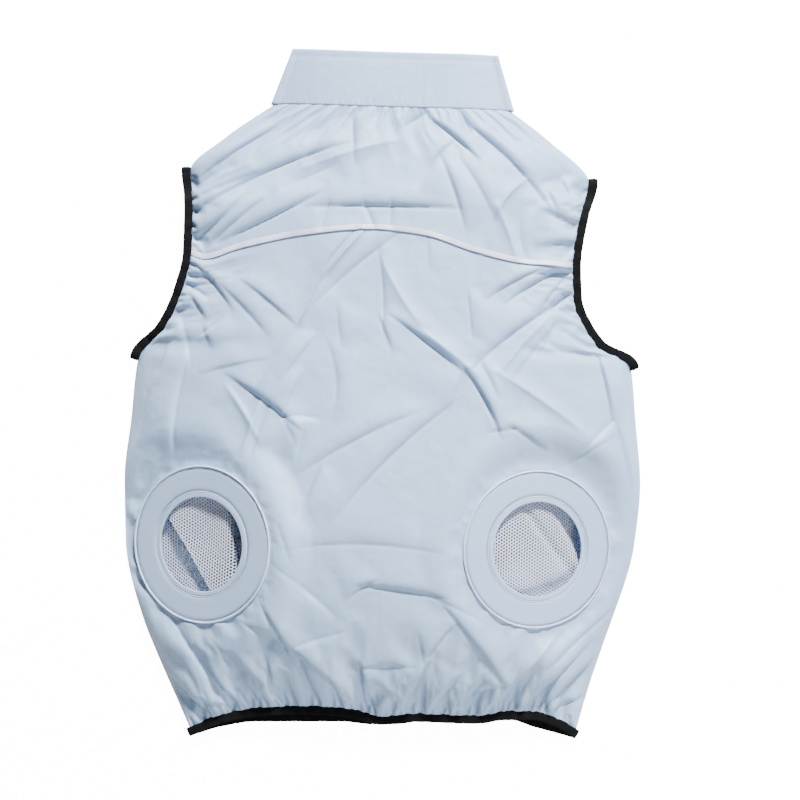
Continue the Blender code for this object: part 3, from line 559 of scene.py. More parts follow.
FULL_BUMP_SPARE = 0.02


def drawn_back(s, t):
    """The plain back with the drawn folds on it, flat where the rings are sewn."""
    x, y, z = plain_back(s, t)
    y_from_hem = y - plan_y(s, np.full_like(t, HEM_T), "back_v")
    calm = smooth_step((1 - np.abs(s)) / EDGE_CALM) * smooth_step(y_from_hem / HEM_CALM)
    z = z + fold_height(x, y) * calm
    for side in RINGS:
        plane, radius = ring_plane(side, x, y)
        flat = 1 - smooth_step((radius - RING_RADIUS - RING_FLAT_MARGIN) / RING_FADE)
        z = flat * plane + (1 - flat) * z
    return np.stack([x, y, np.maximum(z, SEAM_Z)]).astype(np.float32)


def settle_back():
    """Each grid starts from its own drawn folds plus what the coarser one had moved."""
    draw = np.random.default_rng(3)
    points = None
    for row in GRIDS:
        grid = dict(zip(GRID_COLUMNS, row))
        body = rows_between(HEM_T, SEAM_T, grid["body"])
        yoke = rows_between(SEAM_T, NECK_T, grid["yoke"])
        s, t = np.meshgrid(np.linspace(-1, 1, grid["across"] + 1), np.append(body, yoke[1:]))
        drawn = drawn_back(s, t)
        start = drawn if points is None else drawn + doubled(points) - doubled(before)
        free = np.ones_like(s)
        free[[0, -1]] = 0
        free[:, [0, -1]] = 0
        beside_ring = np.zeros_like(s)
        for side in RINGS:
            radius = ring_plane(side, drawn[0], drawn[1])[1]
            free[radius < RING_RADIUS + RING_HOLD] = 0
            beyond = np.maximum(radius - RING_RADIUS, 0)
            beside_ring = np.maximum(beside_ring, np.exp(-beyond / RING_SPARE_REACH))
        free = free.astype(np.float32)
        start = start * free + drawn * (1 - free)
        from_hem = np.maximum(drawn[1] - plan_y(s, np.full_like(t, HEM_T), "back_v"), 0)
        from_neck = np.maximum(plan_y(s, np.full_like(t, NECK_T), "back_v") - drawn[1], 0)
        half = (section("right_u", t) - section("left_u", t)) / 2 * HALF_WIDTH
        from_edge = (1 - np.abs(s)) * half
        at_arm = smooth_step((t - UNDERARM_T - 0.3) / 0.8) * smooth_step((SHOULDER_T - t + 0.2) / 0.5)
        ring = grid["ring"] * beside_ring
        across = grid["spare"] + grid["hem"] * np.exp(-from_hem / grid["hem_reach"])
        across = across + grid["neck"] * np.exp(-from_neck / grid["neck_reach"]) + ring
        along = grid["spare"] * 0.8 + grid["arm"] * at_arm * np.exp(-from_edge / grid["arm_reach"])
        along = along + ring
        cell = 2 * HALF_WIDTH / grid["across"]
        bump = grid["bump"] * cell * np.minimum(1, (across + along) / FULL_BUMP_SPARE)
        points = settle(
            start, free, across, along, grid["turns"], grid["pull"], grid["bend"], bump, SEAM_Z, draw,
        )
        before = drawn
        print("grid", points.shape[1:], "cell in mm:", round(1000 * cell, 1))
    return points, s, t


def press_creases(points, s):
    """Thin creases pressed in at the feet of the drawn folds, faded out at the rings and edges."""
    x, y = points[:2]
    radius = np.minimum(*(ring_plane(side, x, y)[1] for side in RINGS))
    on_cloth = smooth_step((radius - RING_RADIUS) / CREASE_RING_FADE)
    inside_edge = smooth_step((1 - np.abs(s)) / CREASE_EDGE_FADE)
    points[2] += fold_height(x, y, True) * on_cloth * inside_edge


back_points, back_s, back_t = settle_back()
press_creases(back_points, back_s)
SEAM_ROW = GRIDS[-1][1]

# %% [markdown]
# ## Turning grids into meshes
# Every cloth piece below is a grid of points, given quads and a UV map in metres along its own
# threads, which lets a weave follow the cloth. A piece with a thickness that shows gets a wall.

# %% Mesh helpers
def new_piece(name, points, faces, uv=None):
    """A mesh object from arrays of points and faces, with a UV for each face corner."""
    mesh = bpy.data.meshes.new(name)
    mesh.from_pydata(points.tolist(), [], faces.tolist())
    if uv is not None:
        layer = mesh.uv_layers.new(name="cloth")
        layer.data.foreach_set("uv", uv.astype(np.float32).ravel())
    mesh.shade_smooth()
    piece = bpy.data.objects.new(name, mesh)
    bpy.context.scene.collection.objects.link(piece)
    return piece


def grid_piece(name, points, along, across, loop_rows=False, loop_columns=False, keep=None):
    """Quads between neighbouring points of a rows by columns grid, which may close on itself."""
    rows, columns = points.shape[:2]
    row, column = np.meshgrid(
        np.arange(rows if loop_rows else rows - 1),
        np.arange(columns if loop_columns else columns - 1), indexing="ij",
    )
    corners = [(row, column), (row, column + 1), (row + 1, column + 1), (row + 1, column)]
    faces = np.stack([(i % rows) * columns + j % columns for i, j in corners], axis=-1)
    uv = np.stack([np.stack([across[j], along[i]], axis=-1) for i, j in corners], axis=2)
    faces, uv = faces.reshape(-1, 4), uv.reshape(-1, 4, 2)
    points = points.reshape(-1, 3)
    if keep is not None:
        kept = keep.ravel()[faces].all(axis=1)
        faces, uv = faces[kept], uv[kept]
        used = np.unique(faces)
        renumber = np.zeros(len(points), int)
        renumber[used] = np.arange(len(used))
        points, faces = points[used], renumber[faces]
    return new_piece(name, points, faces, uv)


def give_wall(piece, thickness, side):
    """A wall on one side of the surface: -1 below its faces, 0 on both sides, 1 above."""
    wall = piece.modifiers.new("wall", "SOLIDIFY")
    wall.thickness = thickness
    wall.offset = side
    wall.use_even_offset = True


def place(piece, nodes, slot):
    """Puts a finished piece in the frame: it rides on the vest and stands for its solids."""
    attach(piece, "root")
    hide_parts(*nodes)
    print(piece.name, "faces:", len(piece.data.polygons))
    return piece


# %% [markdown]
# ## The back panels
# The settled sheet is parted at the yoke seam. The nylon is about a tenth of a millimetre thick,
# so both panels are single surfaces. The port holes are cut by leaving out the faces inside them
# and drawing the edge points out to a true circle, which the port's flange then covers.

# %% Body and yoke
CLOTH_HOLE_RADIUS = PORT_RADIUS + 0.002
HOLE_SNAP = 0.0018


def round_hole(points, side):
    """Points near the hole's radius moved onto it, within the ring's plane; True for the rest."""
    centre = ring_centre(side)
    radius = ring_plane(side, points[0], points[1])[1]
    grow = CLOTH_HOLE_RADIUS / np.maximum(radius, 1e-6)
    near = np.abs(radius - CLOTH_HOLE_RADIUS) < HOLE_SNAP
    x = np.where(near, centre[0] + (points[0] - centre[0]) * grow, points[0])
    y = np.where(near, centre[1] + (points[1] - centre[1]) * grow, points[1])
    z = np.where(near, ring_plane(side, x, y)[0], points[2])
    keep = radius > CLOTH_HOLE_RADIUS - HOLE_SNAP
    return np.stack([x, y, z]), keep


def back_panel(name, first, last):
    """Rows first to last of the settled back, with the port holes left open."""
    points = back_points
    keep = np.ones(points.shape[1:], bool)
    for side in RINGS:
        points, beyond = round_hole(points, side)
        keep &= beyond
    rows = np.moveaxis(points[:, first:last + 1], 0, -1)
    middle = points.shape[2] // 2
    steps = np.linalg.norm(np.diff(rows[:, middle], axis=0), axis=1)
    along = np.append(0, np.cumsum(steps))
    across = np.linspace(-HALF_WIDTH, HALF_WIDTH, points.shape[2])
    piece = grid_piece(name, rows, along, across, keep=keep[first:last + 1])
    return place(piece, [name], "ice_nylon")


body = back_panel("back_body", 0, SEAM_ROW - 1)
yoke = back_panel("back_yoke", SEAM_ROW + 1, back_points.shape[1] - 1)

# %% [markdown]
# ## Tape, binding and cords along a path
# All the trims are one cross-section carried along a path. At each point of the path there is
# a sideways direction, and the third direction is square to both. An oval section makes the
# folded elastic and a crowned one the tape.

# %% Sweep
def unit(vectors):
    """Vectors scaled to length 1."""
    return vectors / np.maximum(np.linalg.norm(vectors, axis=-1, keepdims=True), 1e-12)


def lengths_along(path, loop):
    """Distance from the path's start to each point, and back to the start on a loop."""
    ends = np.vstack([path, path[:1]]) if loop else path
    return np.append(0, np.cumsum(np.linalg.norm(np.diff(ends, axis=0), axis=1)))


def path_tangents(path, loop):
    """Direction from the point before to the point after."""
    if loop:
        return unit(np.roll(path, -1, axis=0) - np.roll(path, 1, axis=0))
    return unit(np.gradient(path, axis=0))


def sweep(name, path, sideways, profile, loop=False, caps=True):
    """The closed profile's first number goes sideways and its second square to path and side."""
    tangent = path_tangents(path, loop)
    sideways = unit(sideways - tangent * np.sum(sideways * tangent, axis=1, keepdims=True))
    square = np.cross(tangent, sideways)
    profile = np.broadcast_to(profile, (len(path), *np.shape(profile)[-2:]))
    points = (
        path[:, None] + sideways[:, None] * profile[..., :1] + square[:, None] * profile[..., 1:]
    )
    if caps and not loop:
        first, last = points[:1].mean(axis=1), points[-1:].mean(axis=1)
        ends = [np.repeat(end[:, None], points.shape[1], axis=1) for end in (first, last)]
        points = np.vstack([ends[0], points, ends[1]])
        path = np.vstack([first, path, last])
    round_profile = np.vstack([profile[0], profile[0][:1]])
    across = np.append(0, np.cumsum(np.linalg.norm(np.diff(round_profile, axis=0), axis=1)))
    return grid_piece(name, points, lengths_along(path, loop), across, loop, True)


def weld(piece, distance=0.00002):
    """Merges the points that a cap drew together."""
    merge = piece.modifiers.new("weld", "WELD")
    merge.merge_threshold = distance
    return piece


def oval(width, height, count=18, power=0.6):
    """A closed superellipse, counterclockwise: cosine and sine raised to a power below 1."""
    angle = np.arange(count) * 2 * math.pi / count
    c, s = np.cos(angle), np.sin(angle)
    x = np.sign(c) * np.abs(c) ** power * width / 2
    z = np.sign(s) * np.abs(s) ** power * height / 2
    return np.stack([x, z], axis=1)


print("sweep is ready")

# %% [markdown]
# ## Elastic bindings
# Each edge of the cloth is folded into a band of black elastic. At the armholes the band is a
# whole loop: up the back edge, under at the shoulder, down the front edge and back. Along the
# hem it runs from the zip round both sides and back to the zip.

# %% Bindings
BINDING_BITE = 0.001  # how far the cloth reaches into the band
TURN_STEPS = 7
BINDING_POINTS = 110
BINDING_WAVE = 0.0004
BINDING_WAVE_LENGTH = 0.014


def outward(path, towards):
    """Level unit vectors square to a path, on the side that towards points to."""
    along = np.gradient(path[:, :2], axis=0)
    square = unit(np.stack([-along[:, 1], along[:, 0]], axis=1))
    flip = np.sign(np.sum(square * np.array(towards), axis=1, keepdims=True))
    return np.hstack([square * flip, np.zeros((len(path), 1))])


def half_turn(upper, lower, way):
    """Points of a half circle from the end of the upper run round to the lower one."""
    angles = np.linspace(0, math.pi, TURN_STEPS + 2)[1:-1, None]
    middle, reach = (upper + lower) / 2, abs(upper[2] - lower[2]) / 2
    turned = middle + (upper - middle) * np.cos(angles)
    return turned + np.append(way, 0.0) * reach * np.sin(angles)


def end_ways(run):
    """The level direction in which each end of a run points away from it."""
    first, last = run[0] - run[1], run[-1] - run[-2]
    return [way[:2] / np.linalg.norm(way[:2]) for way in (first, last)]


def edge_of_back(s, t):
    """Middle of the cloth's wall along an edge of the back, kept above the lower run."""
    edge = drawn_back(s, t).T.astype(float)
    low = BINDING_THICKNESS / 2 + BINDING_TURN
    edge[:, 2] = np.maximum(edge[:, 2] - CLOTH / 2, low)
    return edge


def edge_of_front(s, t):
    """The same on the fronts, which lie on the surface."""
    edge = np.stack(plain_front(s, t), axis=1)
    edge[:, 2] = BINDING_THICKNESS / 2
    return edge


def evened(path, sides, count, loop):
    """The path and its sideways vectors read again at even steps."""
    length = lengths_along(path, loop)
    if loop:
        path, sides = np.vstack([path, path[:1]]), np.vstack([sides, sides[:1]])
    at = np.linspace(0, length[-1], count + 1)[:count] if loop else np.linspace(0, length[-1], count)
    read = [np.stack([np.interp(at, length, v[:, k]) for k in range(3)], axis=1) for v in (path, sides)]
    return read[0], unit(read[1])


def binding(name, runs, count, loop):
    """A band of elastic that holds the cloth's edge and waves a little where it is gathered."""
    path = np.vstack([run + (BINDING_WIDTH - BINDING_BITE) / 2 * out for run, out in runs])
    sides = np.vstack([np.broadcast_to(out, run.shape) for run, out in runs])
    path, sides = evened(path, sides, count, loop)
    phase = 2 * math.pi * lengths_along(path, False) / BINDING_WAVE_LENGTH
    path[:, 2] += BINDING_WAVE * (np.sin(phase) + 0.6 * np.sin(0.62 * phase + 1.0))
    path[:, 2] = np.maximum(path[:, 2], BINDING_THICKNESS / 2)
    width = BINDING_WIDTH + BINDING_BITE
    piece = sweep(name, path, sides, oval(width, BINDING_THICKNESS), loop)
    weld(piece)
    return place(piece, [name], "black_elastic")


def armhole_binding(side, sign):
    """One armhole's loop."""
    t = np.linspace(UNDERARM_T, SHOULDER_T, BINDING_POINTS)
    edge = np.full_like(t, float(sign))
    back, front = edge_of_back(edge, t), edge_of_front(edge, t)
    back_out, front_out = outward(back, (sign, 0.2)), outward(front, (sign, 0.2))
    low_way, high_way = end_ways(back)
    return binding(f"armhole_binding_{side}", [
        (back, back_out),
        (half_turn(back[-1], front[-1], high_way), back_out[-1]),
        (front[::-1], front_out[::-1]),
        (half_turn(back[0], front[0], low_way)[::-1], back_out[0]),
    ], 420, True)


def hem_binding():
    """From the zip along the front hem, round a side, along the back hem and back to the zip."""
    s = np.linspace(-1, 1, 2 * BINDING_POINTS)
    back = edge_of_back(s, np.full_like(s, HEM_T))
    half = np.linspace(1e-4, 1, BINDING_POINTS)
    left = edge_of_front(-half, np.full_like(half, HEM_T))
    right = edge_of_front(half, np.full_like(half, HEM_T))
    back_out, left_out, right_out = (outward(run, (0.0, -1.0)) for run in (back, left, right))
    left_way, right_way = end_ways(back)
    return binding("hem_binding", [
        (left, left_out),
        (half_turn(back[0], left[-1], left_way)[::-1], back_out[0]),
        (back, back_out),
        (half_turn(back[-1], right[-1], right_way), back_out[-1]),
        (right[::-1], right_out[::-1]),
    ], 640, False)


bindings = [armhole_binding("left", -1), armhole_binding("right", 1), hem_binding()]

# %% [markdown]
# ## Reflective tape in the yoke seam
# A flat silvery tape lies along the seam. It follows the settled cloth, so it dips and turns
# with every fold that crosses it.

# %% Yoke tape
TAPE_LIFT = 0.0010
TAPE_THICKNESS = 0.0011


def yoke_tape():
    """The seam's row of points, with the cloth's own up and down directions there."""
    rows = back_points[:, SEAM_ROW - 2:SEAM_ROW + 3].astype(float)
    path = rows.mean(axis=1).T
    path[:, 2] = rows[2].max(axis=0) * 0.6 + rows[2].mean(axis=0) * 0.4 + TAPE_LIFT
    sideways = (rows[:, -1] - rows[:, 0]).T
    profile = oval(TAPE_WIDTH, TAPE_THICKNESS, 12, 0.35)
    piece = sweep("yoke_piping", path[1:-1], -sideways[1:-1], profile)
    return place(weld(piece), ["yoke_piping"], "reflective_tape")


tape = yoke_tape()

# %% [markdown]
# ## Front panels and zip
# The fronts lie flat underneath and hardly show, so they are plain sheets with a few soft
# wrinkles, settled in the same way as the back. The zip between them is a plain closed one: a
# woven tape with the ridge of its coil.

# %% Fronts and zip
FRONT_ROWS = 150
FRONT_ACROSS = 52
FRONT_LIFT = 0.0006
ZIP_TEETH_PITCH = 0.0016
ZIP_COIL_WIDTH = 0.0044
ZIP_COIL_HEIGHT = 0.0011
ZIP_TAPE = 0.0008


def front_panel(name, sign):
    """One front: level, a little higher at its sewn sides, with soft wrinkles between."""
    s, t = np.meshgrid(np.linspace(1e-4, 1, FRONT_ACROSS + 1) * sign,
                       rows_between(HEM_T, NECK_T, FRONT_ROWS))
    if sign < 0:
        s, t = s[:, ::-1], t[:, ::-1]
    x, y, z = plain_front(s, t)
    closed = smooth_step(section("closed", t))
    z = z + CLOTH + closed * (SEAM_Z - 2 * CLOTH) * smooth_step((np.abs(s) - 0.93) / 0.07)
    drawn = np.stack([x, y, z]).astype(np.float32)
    free = np.ones_like(s, dtype=np.float32)
    free[[0, -1]] = 0
    free[:, [0, -1]] = 0
    spare = np.full_like(s, 0.0012)
    points = settle(drawn, free, spare, spare, 260, 0.02, 0.3, FRONT_LIFT * free,
                    CLOTH, np.random.default_rng(11 + sign))
    rows = np.moveaxis(points, 0, -1)
    along = lengths_along(rows[:, FRONT_ACROSS // 2], False)
    across = lengths_along(rows[FRONT_ROWS // 2], False)
    piece = grid_piece(name, rows, along, across)
    give_wall(piece, CLOTH, -1)
    return place(piece, [name], "ice_nylon")


def front_zip():
    """Cross-section of a flat tape with a rounded coil on it, rippled once for each tooth."""
    low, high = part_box("front_zip")
    count = int((high.y - low.y) / ZIP_TEETH_PITCH * 4)
    y = np.linspace(low.y, high.y, count)
    t = np.interp(y, plan_y(0.0, back_t[:, 0], "front_v"), back_t[:, 0])
    path = np.stack([zip_line(t), y, np.full_like(y, ZIP_TAPE)], axis=1)
    x = np.linspace(-ZIP_WIDTH / 2, ZIP_WIDTH / 2, 23)
    hump = np.clip(1 - (2 * x / ZIP_COIL_WIDTH) ** 2, 0, 1) ** 0.5 * ZIP_COIL_HEIGHT
    ripple = 0.7 + 0.3 * np.cos(2 * math.pi * y / ZIP_TEETH_PITCH)
    top = np.stack([np.broadcast_to(x, (count, len(x))), ripple[:, None] * hump], axis=-1)
    under = np.stack([np.broadcast_to(x[::-1], (count, len(x))),
                      np.full((count, len(x)), -ZIP_TAPE)], axis=-1)
    profile = np.concatenate([top, under], axis=1)[:, ::-1]
    sideways = np.tile([1.0, 0.0, 0.0], (count, 1))
    piece = sweep("front_zip", path, sideways, profile * [1, -1])
    return place(weld(piece), ["front_zip"], "zip_grey")


fronts = [front_panel("front_left", -1), front_panel("front_right", 1)]
zip_piece = front_zip()

# %% [markdown]
# ## Collar
# The stand collar is folded flat: two layers joined at the sides and open at the front, where
# the zip runs up. It is two thicknesses of cloth with a stiffer layer between, so it stays
# smooth, with soft dents where the neck seam pulls and a shallow groove under the stitching.

# %% Collar
COLLAR_ROWS = 30
COLLAR_STITCH_DROP = 0.0072
GROOVE_DEPTH = 0.0005
GROOVE_WIDTH = 0.0012
COLLAR_SPARE = 0.016


def collar_surface():
    """A path round the neck edge, carried upwards while it narrows and comes down."""
    low_z = COLLAR_WALL / 2
    fold_z = low_z + COLLAR_TURN
    s = np.linspace(-1, 1, 161)
    back = drawn_back(s, np.full_like(s, NECK_T)).T.astype(float)
    back[:, 2] = np.maximum(back[:, 2] - CLOTH / 2, fold_z)
    half = np.linspace(1e-4, 1, 80)
    left, right = (np.stack(plain_front(sign * half, np.full_like(half, NECK_T)), axis=1)
                   for sign in (-1, 1))
    left[:, 2] = right[:, 2] = low_z
    base = np.vstack([
        left, half_turn(back[0], left[-1], (-1.0, 0.0))[::-1], back,
        half_turn(back[-1], right[-1], (1.0, 0.0)), right[::-1],
    ])
    left_x, right_x = back[0, 0], back[-1, 0]
    side = (base[:, 0] - (left_x + right_x) / 2) / ((right_x - left_x) / 2)
    taper = np.where(side < 0, COLLAR_TAPER_LEFT, -COLLAR_TAPER_RIGHT) * np.abs(side) ** 2
    share = np.linspace(0, 1, COLLAR_ROWS + 1)[:, None]
    drop = np.maximum(base[:, 2] - fold_z, 0) * COLLAR_LEAN
    return np.stack([
        base[:, 0] + taper * share,
        base[:, 1] - CLOTH + (COLLAR_HEIGHT + CLOTH) * share,
        base[:, 2] - drop * share,
    ])


def collar():
    """The surface settled with a little spare, then grooved along its rows of stitches."""
    drawn = collar_surface().astype(np.float32)
    free = np.ones(drawn.shape[1:], np.float32)
    free[:, [0, -1]] = 0
    free[[0, -1]] = 0
    low = drawn[2] < COLLAR_WALL
    height = np.linspace(0, COLLAR_HEIGHT, COLLAR_ROWS + 1)[:, None]
    spare = COLLAR_SPARE * np.exp(-height / 0.02) + 0.004 + 0 * drawn[0]
    points = settle(drawn, free * (1 - low), spare, spare * 0.3, 300, 0.03, 0.6,
                    0.0010 * free * (1 - low), COLLAR_WALL / 2, np.random.default_rng(5))
    dip = GROOVE_DEPTH * np.exp(-((COLLAR_HEIGHT - COLLAR_STITCH_DROP - height) / GROOVE_WIDTH) ** 2)
    points[2] -= dip * (1 - low)
    rows = np.moveaxis(points, 0, -1)
    piece = grid_piece("collar", rows, height[:, 0], lengths_along(rows[0], False))
    give_wall(piece, COLLAR_WALL - 0.0002, 0)
    return place(piece, ["collar"], "ice_nylon"), rows


collar_piece, collar_rows = collar()

# %% [markdown]
# ## Fan ports
# Each port is a flat ring of doubled nylon with a rolled seam at its outer edge and another
# round the opening, where the last few millimetres are turned in as a flange. All of it is
# turned round one axis, with small puckers where the stitching pulls.

# %% Rings, flanges and rolled seams
RING_STEPS = 216
PUCKER = 0.00022
PUCKER_COUNT = 47
ROLL_TWISTS = 190
ROLL_DEPTH = 0.00016


def port_points(side, radius, angle, height):
    """From a port's own round coordinates to the frame: a turn about Y by the ring's lean."""
    lean = math.radians(RING[side]["lean_deg"])
    x, y = radius * np.cos(angle), radius * np.sin(angle)
    centre = ring_centre(side)
    return np.stack([
        centre[0] + x * math.cos(lean) + height * math.sin(lean),
        centre[1] + y,
        centre[2] - x * math.sin(lean) + height * math.cos(lean),
    ], axis=-1)


def turned(name, side, profile_radius, profile_height, node, slot):
    """A closed profile turned round the port's axis; rows go round and columns go across."""
    angle = np.arange(RING_STEPS)[:, None] * 2 * math.pi / RING_STEPS
    points = port_points(side, profile_radius, angle, profile_height)
    path = RING_RADIUS * 2 * math.pi / RING_STEPS * np.arange(RING_STEPS + 1)
    first = np.stack([profile_radius[0], profile_height[0]], axis=1)
    across = lengths_along(np.hstack([first, np.zeros((len(first), 1))]), True)
    piece = grid_piece(name, points, path, across, True, True)
    return place(piece, [node], slot)


def flat_ring(name, side, inner, outer, seed):
    """Eleven steps over the top, crowned by the puckers, and two at the bottom corners."""
    draw = np.random.default_rng(seed)
    angle = np.arange(RING_STEPS)[:, None] * 2 * math.pi / RING_STEPS
    share = np.linspace(0, 1, 11)
    radius = np.concatenate([[inner], inner + (outer - inner) * share, [outer]])
    shape = np.concatenate([[0.0], np.clip(np.minimum(share, 1 - share) * 14, 0.55, 1), [0.0]])
    edge = np.concatenate([[0], np.abs(2 * share - 1) ** 3, [0]])
    wave = sum(np.cos(angle * (PUCKER_COUNT + k) + draw.uniform(0, 6.28)) for k in (-9, 0, 7)) / 3
    slow = sum(np.cos(angle * k + draw.uniform(0, 6.28)) for k in (3, 5, 8)) / 3
    height = RING_THICKNESS * shape + PUCKER * wave * edge + 0.5 * PUCKER * slow * shape
    return turned(name, side, np.broadcast_to(radius, height.shape), height, name, "ring_nylon")


def rolled_seam(name, side, radius, thickness):
    """A round roll with slanting ridges of overlock thread."""
    angle = np.arange(RING_STEPS)[:, None] * 2 * math.pi / RING_STEPS
    turn = -np.arange(10)[None] * 2 * math.pi / 10
    wound = 0.5 + 0.5 * np.cos(ROLL_TWISTS * angle + 2 * turn)
    size = thickness - ROLL_DEPTH * wound * (thickness / EDGE_CORD_RADIUS)
    return turned(
        name, side, radius + size * np.cos(turn), thickness + size * np.sin(turn), name, "seam_cord",
    )


seam_room = HOLE_CORD_RADIUS + GAP
port_pieces = {}
for number, side in enumerate(RINGS):
    port_pieces[side] = [
        flat_ring(f"fan_ring_{side}", side, PORT_SEAM_RADIUS + seam_room, RING_RADIUS, 20 + number),
        flat_ring(f"port_flange_{side}", side, PORT_RADIUS, PORT_SEAM_RADIUS - seam_room, 30 + number),
        rolled_seam(f"ring_edge_cord_{side}", side, RING_RADIUS + GAP + EDGE_CORD_RADIUS, EDGE_CORD_RADIUS),
        rolled_seam(f"hole_edge_cord_{side}", side, PORT_SEAM_RADIUS, HOLE_CORD_RADIUS),
    ]

# %% [markdown]
# ## Net lining
# The lining is a warp-knitted net with small round holes in even rows. A picture of holes would
# be flat, so each cell of the net is modelled: a six-sided tile with a round hole, laid on a
# lattice, joined to its neighbours and bent to the way in which the net sags and folds behind
# the opening.

# %% Net
NET_PITCH = 0.0034
NET_HOLE_RADIUS = 0.00128
NET_WALL = 0.0005
NET_REACH = 0.0585
NET_TURN = math.radians(28)
NET_CORNERS = 12
NET_EASE = 0.0016


def net_tiles():
    """Hexagon tiles on a lattice: 12 points on each outline and 12 round each hole."""
    count = int(NET_REACH / NET_PITCH) + 3
    i, j = np.meshgrid(np.arange(-count, count + 1), np.arange(-count, count + 1))
    centre = np.stack([(i + j / 2) * NET_PITCH, j * NET_PITCH * math.sqrt(3) / 2], axis=-1)
    centre = centre.reshape(-1, 2)
    centre = centre[np.linalg.norm(centre, axis=1) < NET_REACH]
    angle = np.arange(NET_CORNERS) * 2 * math.pi / NET_CORNERS
    way = np.stack([np.cos(angle), np.sin(angle)], axis=1)
    outline = np.where(np.arange(NET_CORNERS) % 2 == 0, NET_PITCH / 2, NET_PITCH / math.sqrt(3))
    rim = centre[:, None] + way * outline[:, None]
    hole = centre[:, None] + way * NET_HOLE_RADIUS
    points = np.concatenate([rim, hole], axis=1).reshape(-1, 2)
    corner = np.arange(NET_CORNERS)
    after = (corner + 1) % NET_CORNERS
    quad = np.stack([corner, after, after + NET_CORNERS, corner + NET_CORNERS], axis=1)
    faces = (quad[None] + 2 * NET_CORNERS * np.arange(len(centre))[:, None, None]).reshape(-1, 4)
    _, first, joined = np.unique(
        np.rint(points / 1e-6).astype(int), axis=0, return_index=True, return_inverse=True,
    )
    return points[first], joined.reshape(-1)[faces], len(centre)


def left_net_height(p, q):
    """Sagging net with a long fold across it: high on its right, tucked under on its left."""
    radius = np.hypot(p, q)
    sag = -0.0015 - 0.0035 * (1 - smooth_step(radius / 0.060))
    aside = (p + 0.030) * 0.82 + (q - 0.010) * 0.57
    tucked = -0.0065 * smooth_step(-aside / 0.004)
    crown = 0.005 * np.exp(-np.maximum(aside, 0) / 0.018) * (aside > -0.001)
    into_shade = -0.011 * smooth_step((p - 0.027) / 0.020)
    ripple = 0.0012 * np.sin((p * 0.8 - q * 0.6) / 0.010)
    return sag + tucked + crown + into_shade + ripple


def right_net_height(p, q):
    """Net that bulges up to the opening, with a soft crease and a fall at its far edges."""
    radius = np.hypot(p, q)
    sag = -0.0015 - 0.002 * (1 - smooth_step(radius / 0.060))
    crease = p * 0.80 + q * 0.60 - 0.016
    dip = -0.0035 * np.exp(-(crease / 0.0045) ** 2) * smooth_step((q + 0.045) / 0.05)
    away = smooth_step((p * 0.90 + q * 0.44 - 0.031) / 0.018)
    low = smooth_step((-q * 0.95 + p * 0.30 - 0.030) / 0.020)
    ripple = 0.0007 * np.sin((p * 0.87 + q * 0.5) / 0.008)
    return sag + dip - 0.010 * away - 0.007 * low + ripple


NET_HEIGHT = {"left": left_net_height, "right": right_net_height}


def net_lining(side):
    """The tiles turned a little, given their height and leant with the port."""
    flat, faces, count = net_tiles()
    c, s = math.cos(NET_TURN), math.sin(NET_TURN)
    p, q = flat[:, 0] * c - flat[:, 1] * s, flat[:, 0] * s + flat[:, 1] * c
    height = NET_HEIGHT[side](p, q)
    below = (height - np.hypot(height, NET_EASE)) / 2  # never above the cloth that it hangs from
    height = below - RING_THICKNESS - CLOTH
    points = port_points(side, np.hypot(p, q), np.arctan2(q, p), height)
    uv = flat[faces]
    piece = new_piece(f"net_lining_{side}", points, faces, uv)
    give_wall(piece, NET_WALL, -1)
    print("holes in the net:", count)
    return place(piece, [f"net_lining_{side}"], "net_white")


nets = [net_lining(side) for side in RINGS]

# %% [markdown]
# ## Stitches
# Rows of lockstitch show on the collar, beside the yoke tape and round the ports, where their dark grey
# thread also paints the thin shadow lines beside the rolled seams. One stitch is a short rounded bar of
# thread, and a row is one mesh with a bar at every step of its path.

# %% Stitch rows
STITCH_SIDES = 6
STITCH_RINGS = 4


def stitch_row(name, path, up, pitch, length, width, lift, loop=False):
    """Bars of thread at even steps: rounded along their length and sunk to half at both ends."""
    distance = lengths_along(path, loop)
    if loop:
        path, up = np.vstack([path, path[:1]]), np.vstack([up, up[:1]])
    count = int(distance[-1] / pitch)
    share = np.linspace(-0.5, 0.5, STITCH_RINGS)
    at = (np.arange(count)[:, None] + 0.5) * pitch + share * length
    spots = np.stack([np.interp(at, distance, path[:, k]) for k in range(3)], axis=-1)
    upward = unit(np.stack([np.interp(at, distance, up[:, k]) for k in range(3)], axis=-1))
    tangent = unit(np.gradient(spots, axis=1))
    sideways = np.cross(tangent, upward)
    swell = np.sqrt(np.clip(1 - (2 * share) ** 4, 0.12, 1))
    spots = spots + upward * (lift + width * 0.25 * (swell - 1))[None, :, None]
    angle = np.arange(STITCH_SIDES) * 2 * math.pi / STITCH_SIDES
    ring = (sideways[:, :, None] * np.cos(angle)[:, None] + upward[:, :, None] * np.sin(angle)[:, None])
    points = spots[:, :, None] + ring * (width / 2 * swell)[None, :, None, None]
    r, k = np.meshgrid(np.arange(STITCH_RINGS - 1), np.arange(STITCH_SIDES), indexing="ij")
    after = (k + 1) % STITCH_SIDES
    side_faces = np.stack([
        r * STITCH_SIDES + k, r * STITCH_SIDES + after,
        (r + 1) * STITCH_SIDES + after, (r + 1) * STITCH_SIDES + k,
    ], axis=-1).reshape(-1, 4)
    last = (STITCH_RINGS - 1) * STITCH_SIDES
    caps = np.array([[3, 2, 1, 0], [5, 4, 3, 0], [0, 1, 2, 3], [0, 3, 4, 5]])
    caps[2:] += last
    faces = np.vstack([side_faces, caps])[:, ::-1]
    step = STITCH_RINGS * STITCH_SIDES
    faces = (faces[None] + step * np.arange(count)[:, None, None]).reshape(-1, 4)
    piece = new_piece(name, points.reshape(-1, 3), faces)
    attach(piece, "root")
    print(name, "stitches:", count)
    return piece


